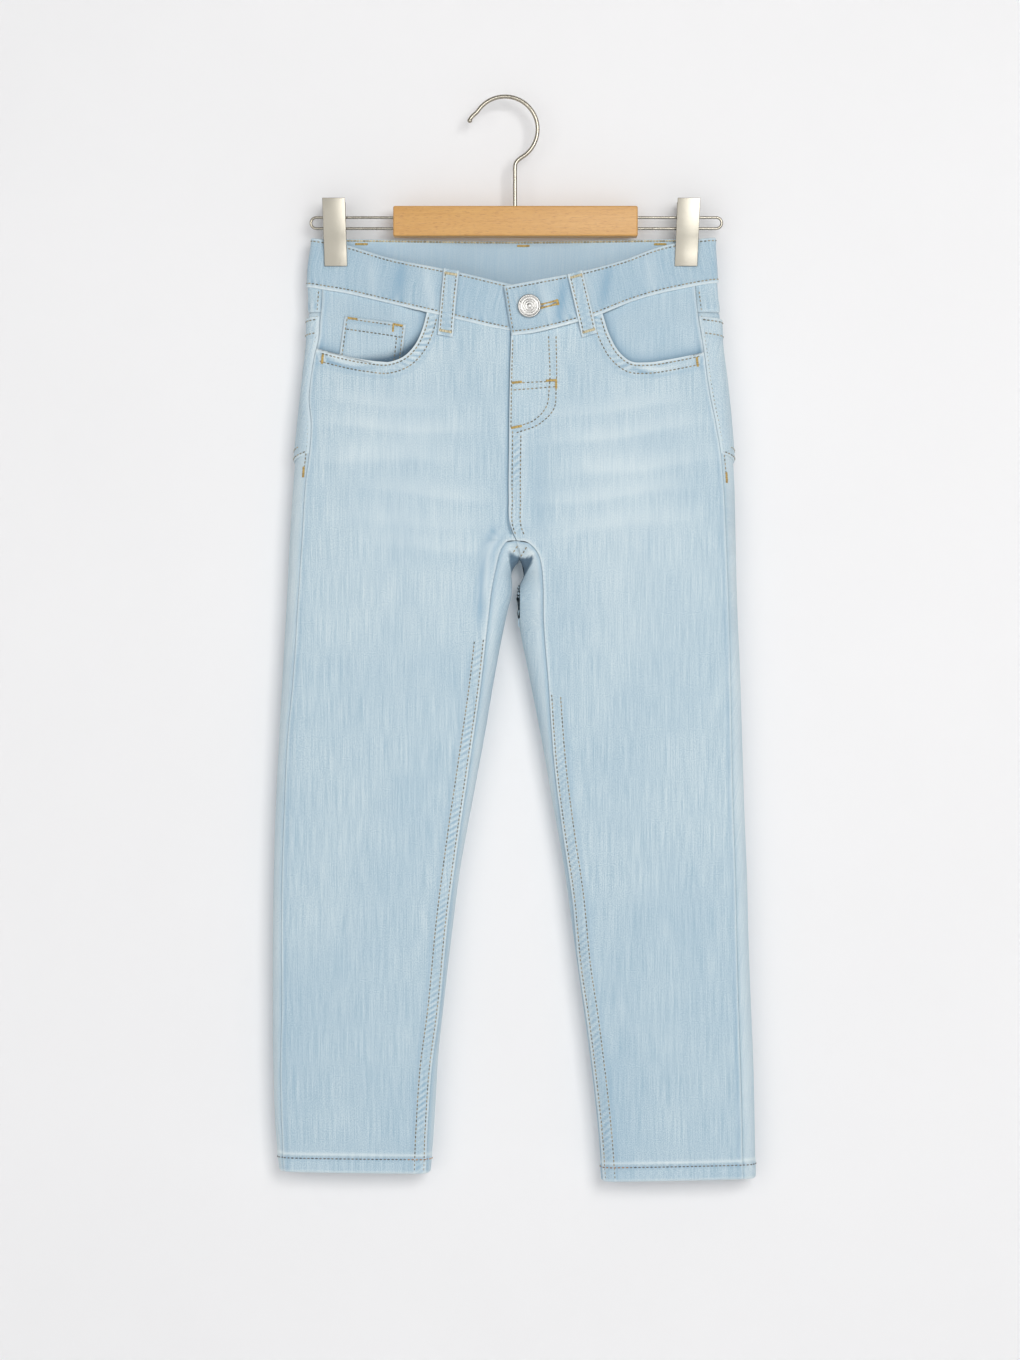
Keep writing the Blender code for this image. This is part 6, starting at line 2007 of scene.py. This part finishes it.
# %% Bar, hook and wires
HOOK_CENTRE_X, HOOK_CENTRE_Z, HOOK_RADIUS, HOOK_WIRE = -7.3, -21.1, 23.8, 1.55
BAR_LEFT, BAR_RIGHT, BAR_TOP, BAR_BOTTOM, BAR_DEPTH = -88.5, 89.2, -77.6, -99.6, 12.0
WIRE_RADIUS, WIRE_UPPER_Z, WIRE_LOWER_Z = 1.0, -85.4, -93.4
WIRE_REACH = {"left": -149.6, "right": 151.5}
BAR_EASE = 1.3
TIP_RADIUS = 1.85
COLLAR_DEPTH, COLLAR_LIFT = 0.25, 0.13
HOOK_START, HOOK_TURN_END = 166, -60
HOOK_FLARE, FLARE_START = 2.6, 146


def placed(name, bm, look, slot, *nodes):
    """A finished mesh piece, its faces pointing out."""
    bmesh.ops.recalc_face_normals(bm, faces=bm.faces[:])
    mesh = meshed(name, bm)
    mesh.materials.append(look)
    mesh.shade_smooth()
    mesh.set_sharp_from_angle(angle=math.radians(50))
    counts[name] = len(mesh.polygons) * 2
    return dress(linked(name, mesh), slot, *nodes)


def bent_wire(name, line, radius, slot, *nodes):
    """A round wire along a smooth line of places in millimetres."""
    curve = bpy.data.curves.new(name, "CURVE")
    curve.dimensions = "3D"
    curve.bevel_depth = radius * MM
    curve.bevel_resolution = 5
    curve.use_fill_caps = True
    spline = curve.splines.new("POLY")
    spline.points.add(len(line) - 1)
    for (x, z), point in zip(line, spline.points):
        point.co = (x * MM, 0, z * MM, 1)
    curve.materials.append(wire_metal)
    obj = linked(name, curve)
    graph = bpy.context.evaluated_depsgraph_get()
    mesh = bpy.data.meshes.new_from_object(obj.evaluated_get(graph))
    bpy.data.objects.remove(obj)
    bm = bmesh.new()
    bm.from_mesh(mesh)
    bpy.data.meshes.remove(mesh)
    bmesh.ops.remove_doubles(bm, verts=bm.verts[:], dist=1e-6)
    return placed(name, bm, wire_metal, slot, *nodes)


bm = bmesh.new()
bmesh.ops.create_cube(bm, size=1)
bar_size = np.array([BAR_RIGHT - BAR_LEFT, BAR_DEPTH, BAR_TOP - BAR_BOTTOM])
bar_middle = np.array([(BAR_LEFT + BAR_RIGHT) / 2, 0, (BAR_TOP + BAR_BOTTOM) / 2])
for vert in bm.verts:
    vert.co = (np.array(vert.co) * bar_size + bar_middle) * MM
bmesh.ops.bevel(bm, geom=bm.edges[:], offset=BAR_EASE * MM, segments=4, profile=0.5, affect="EDGES",
                material=-1)
placed("beech_bar", bm, beech_wood, "bar_wood", "hanger_bar")

turn = np.radians(np.linspace(HOOK_START, HOOK_TURN_END, 90))
reach = HOOK_RADIUS + HOOK_FLARE * ease((np.degrees(turn) - FLARE_START) / 20)
hook = np.stack([HOOK_CENTRE_X + reach * np.cos(turn), HOOK_CENTRE_Z + reach * np.sin(turn)], axis=-1)
last = hook[-1]
bend = np.array([last, last + [-2.9, -2.4], last + [-4.2, -4.6], [0, last[1] - 7.6], [0, last[1] - 12]])
hook = np.vstack([hook[:-1], rounded(bend, 24), [[0, BAR_TOP + SEAM_GAP]]])
bent_wire("hook_wire", hook, HOOK_WIRE, "hook_wire", "hanger_hook")
bm = bmesh.new()
bmesh.ops.create_uvsphere(bm, u_segments=24, v_segments=16, radius=TIP_RADIUS * MM)
bmesh.ops.translate(bm, verts=bm.verts, vec=(hook[0][0] * MM, 0, hook[0][1] * MM))
placed("hook_tip", bm, wire_metal, "hook_wire")
bm = bmesh.new()
bmesh.ops.create_cone(bm, cap_ends=True, segments=32, radius1=2.5 * MM, radius2=2.2 * MM,
                      depth=COLLAR_DEPTH * MM)
bmesh.ops.translate(bm, verts=bm.verts, vec=(0, 0, (BAR_TOP + COLLAR_LIFT) * MM))
placed("hook_collar", bm, wire_metal, "hook_wire")

for side, sign in SIDES.items():
    start = {"left": BAR_LEFT, "right": BAR_RIGHT}[side] + sign * SEAM_GAP
    radius = (WIRE_UPPER_Z - WIRE_LOWER_Z) / 2
    centre = WIRE_REACH[side] - sign * (radius + WIRE_RADIUS)
    turn = np.radians(np.linspace(90, -90, 25))
    bow = np.stack([centre + sign * radius * np.cos(turn),
                    (WIRE_UPPER_Z + WIRE_LOWER_Z) / 2 + radius * np.sin(turn)], axis=-1)
    line = np.vstack([[[start, WIRE_UPPER_Z]], bow, [[start, WIRE_LOWER_Z]]])
    bent_wire(f"side_wire_{side}", line, WIRE_RADIUS, "hook_wire", f"hanger_wire_{side}")
print("hook:", len(hook), "places along its wire")

# %% Clips
CLIP_ROLL = 0.32

for side in SIDES:
    for name in ("front", "back"):
        node = bpy.data.objects[f"clip_{name}_{side}"]
        bm = bmesh.new()
        bm.from_mesh(node.data)
        bm.transform(node.matrix_world)
        bmesh.ops.remove_doubles(bm, verts=bm.verts[:], dist=1e-6)
        bmesh.ops.dissolve_limit(bm, angle_limit=math.radians(1.5), verts=bm.verts[:], edges=bm.edges[:])
        sharp = [edge for edge in bm.edges if len(edge.link_faces) == 2 and edge.calc_face_angle() > 0.6]
        bmesh.ops.bevel(bm, geom=sharp, offset=CLIP_ROLL * MM, segments=3, profile=0.5, affect="EDGES",
                        material=-1, clamp_overlap=True)
        placed(f"clip_plate_{name}_{side}", bm, plate_metal, "clip_plate", node.name)
print("clips: four plates with edges rolled over", CLIP_ROLL, "mm")

# %% [markdown]
# ## What the pieces ride on
# Every finished piece of cloth, thread, metal or wood rides on the one body of the jeans. No panel of
# jeans is a rectangle, and the waistband hangs from the four jaws of the clips.

# %% [markdown]
# ## Camera, light and a pale room
# The photograph is taken straight on from a few metres away, so the camera stands well back with a long
# lens. The light is large and soft, from the right and a little above, and a pale wall close behind the
# cloth catches its faint shadow. From the front the wall is solid, but from behind it is clear and lets a
# third light through, so that it never hides or darkens the back of the jeans.

# %% The camera
# The photograph has plain screen colours, so the scene shows its colours as they are, with no film curve.
bpy.context.scene.view_settings.view_transform = "Standard"
PHOTO_WIDTH, PHOTO_HEIGHT = 1020, 1360
PIXEL = 0.725
STEM_PIXEL_X, ORIGIN_PIXEL_Y = 515, 97.9
CAMERA_DISTANCE = 2.2
FRONT_Y = -0.009

frame_x = (PHOTO_WIDTH / 2 - STEM_PIXEL_X) * PIXEL * MM
frame_z = -(PHOTO_HEIGHT / 2 - ORIGIN_PIXEL_Y) * PIXEL * MM
camera_data = bpy.data.cameras.new("camera")
camera_data.sensor_fit = "VERTICAL"
camera_data.sensor_height = 36.0
camera_data.lens = 36.0 * CAMERA_DISTANCE / (PHOTO_HEIGHT * PIXEL * MM)
camera = linked("camera", camera_data)
camera.location = (frame_x, FRONT_Y - CAMERA_DISTANCE, frame_z)
camera.rotation_euler = (math.pi / 2, 0, 0)
bpy.context.scene.camera = camera
print("lens", round(camera_data.lens, 1), "mm at", CAMERA_DISTANCE, "m")

# %% Light, wall and floor
WALL_Y, WALL_TOP, FLOOR_Z, REACH = 0.0185, 1.2, -1.05, 3.0
JEANS_MIDDLE = (0.0, 0.0, -0.42)
# Where each light stands and how wide it is, in metres; its watts and its colour.
LIGHTS = {
    "key_from_the_right": ((0.8, -2.7, 0.3), 1.3, 40.5, (1.0, 0.992, 0.98)),
    "fill_from_the_left": ((-1.1, -2.6, -0.2), 1.8, 15.0, (1.0, 0.99, 0.98)),
    "fill_from_behind": ((-0.6, 2.4, 0.3), 2.0, 17.0, (0.98, 0.99, 1.0)),
}
WORLD_COLOUR, WORLD_STRENGTH = (0.95, 0.95, 0.96, 1), 0.3


def area_light(name, place, aim, size, power, colour):
    """A soft square light that looks at a place."""
    data = bpy.data.lights.new(name, "AREA")
    data.shape = "RECTANGLE"
    data.size = data.size_y = size
    data.energy = power
    data.color = colour
    light = linked(name, data)
    light.location = place
    light.rotation_euler = (Vector(aim) - Vector(place)).to_track_quat("-Z", "Y").to_euler()


for name, (place, size, power, colour) in LIGHTS.items():
    area_light(name, place, JEANS_MIDDLE, size, power, colour)

world = bpy.data.worlds.new("pale_studio")
bpy.context.scene.world = world
world.use_nodes = True
background = world.node_tree.nodes["Background"]
background.inputs["Color"].default_value = WORLD_COLOUR
background.inputs["Strength"].default_value = WORLD_STRENGTH


def pale_paint(name, colour, solid_behind):
    """Matt paint with a faint mottling; the wall's is clear from behind and lets shadow rays pass."""
    made, tree, shader, coordinates = new_look(name)
    mottle = stretched_noise(tree, coordinates["Object"], (160.0, 160.0, 160.0), 3.0, 0.5)
    darker = tuple(part * 0.97 for part in colour[:3]) + (1.0,)
    tree.links.new(blended(tree, mottle, colour, darker), shader.inputs["Base Color"])
    shader.inputs["Roughness"].default_value = 0.9
    if not solid_behind:
        clear = add(tree, "ShaderNodeBsdfTransparent")
        facing = add(tree, "ShaderNodeNewGeometry").outputs["Backfacing"]
        passing = add(tree, "ShaderNodeLightPath").outputs["Is Shadow Ray"]
        mix = add(tree, "ShaderNodeMixShader", {0: maths(tree, "MAXIMUM", facing, passing),
                                                1: shader.outputs[0], 2: clear.outputs[0]})
        tree.links.new(mix.outputs[0], tree.nodes["Material Output"].inputs["Surface"])
    return made


def flat_stage(name, corners, look):
    """A flat surface that isn't part of the object."""
    bm = bmesh.new()
    bm.faces.new([bm.verts.new(corner) for corner in corners])
    mesh = meshed(name, bm)
    mesh.materials.append(look)
    obj = linked(name, mesh)


paint = linear(242, 242, 243)
across = np.array([-REACH, REACH, REACH, -REACH])
floor = np.stack([across, [-REACH, -REACH, REACH, REACH], [FLOOR_Z] * 4], axis=-1)
wall = np.stack([across, [WALL_Y] * 4, [FLOOR_Z, FLOOR_Z, WALL_TOP, WALL_TOP]], axis=-1)
flat_stage("floor", floor, pale_paint("floor_paint", paint, solid_behind=True))
flat_stage("wall", wall, pale_paint("wall_paint", paint, solid_behind=False))

# %% Triangle counts and the end
print("triangles in all pieces:", sum(counts.values()))
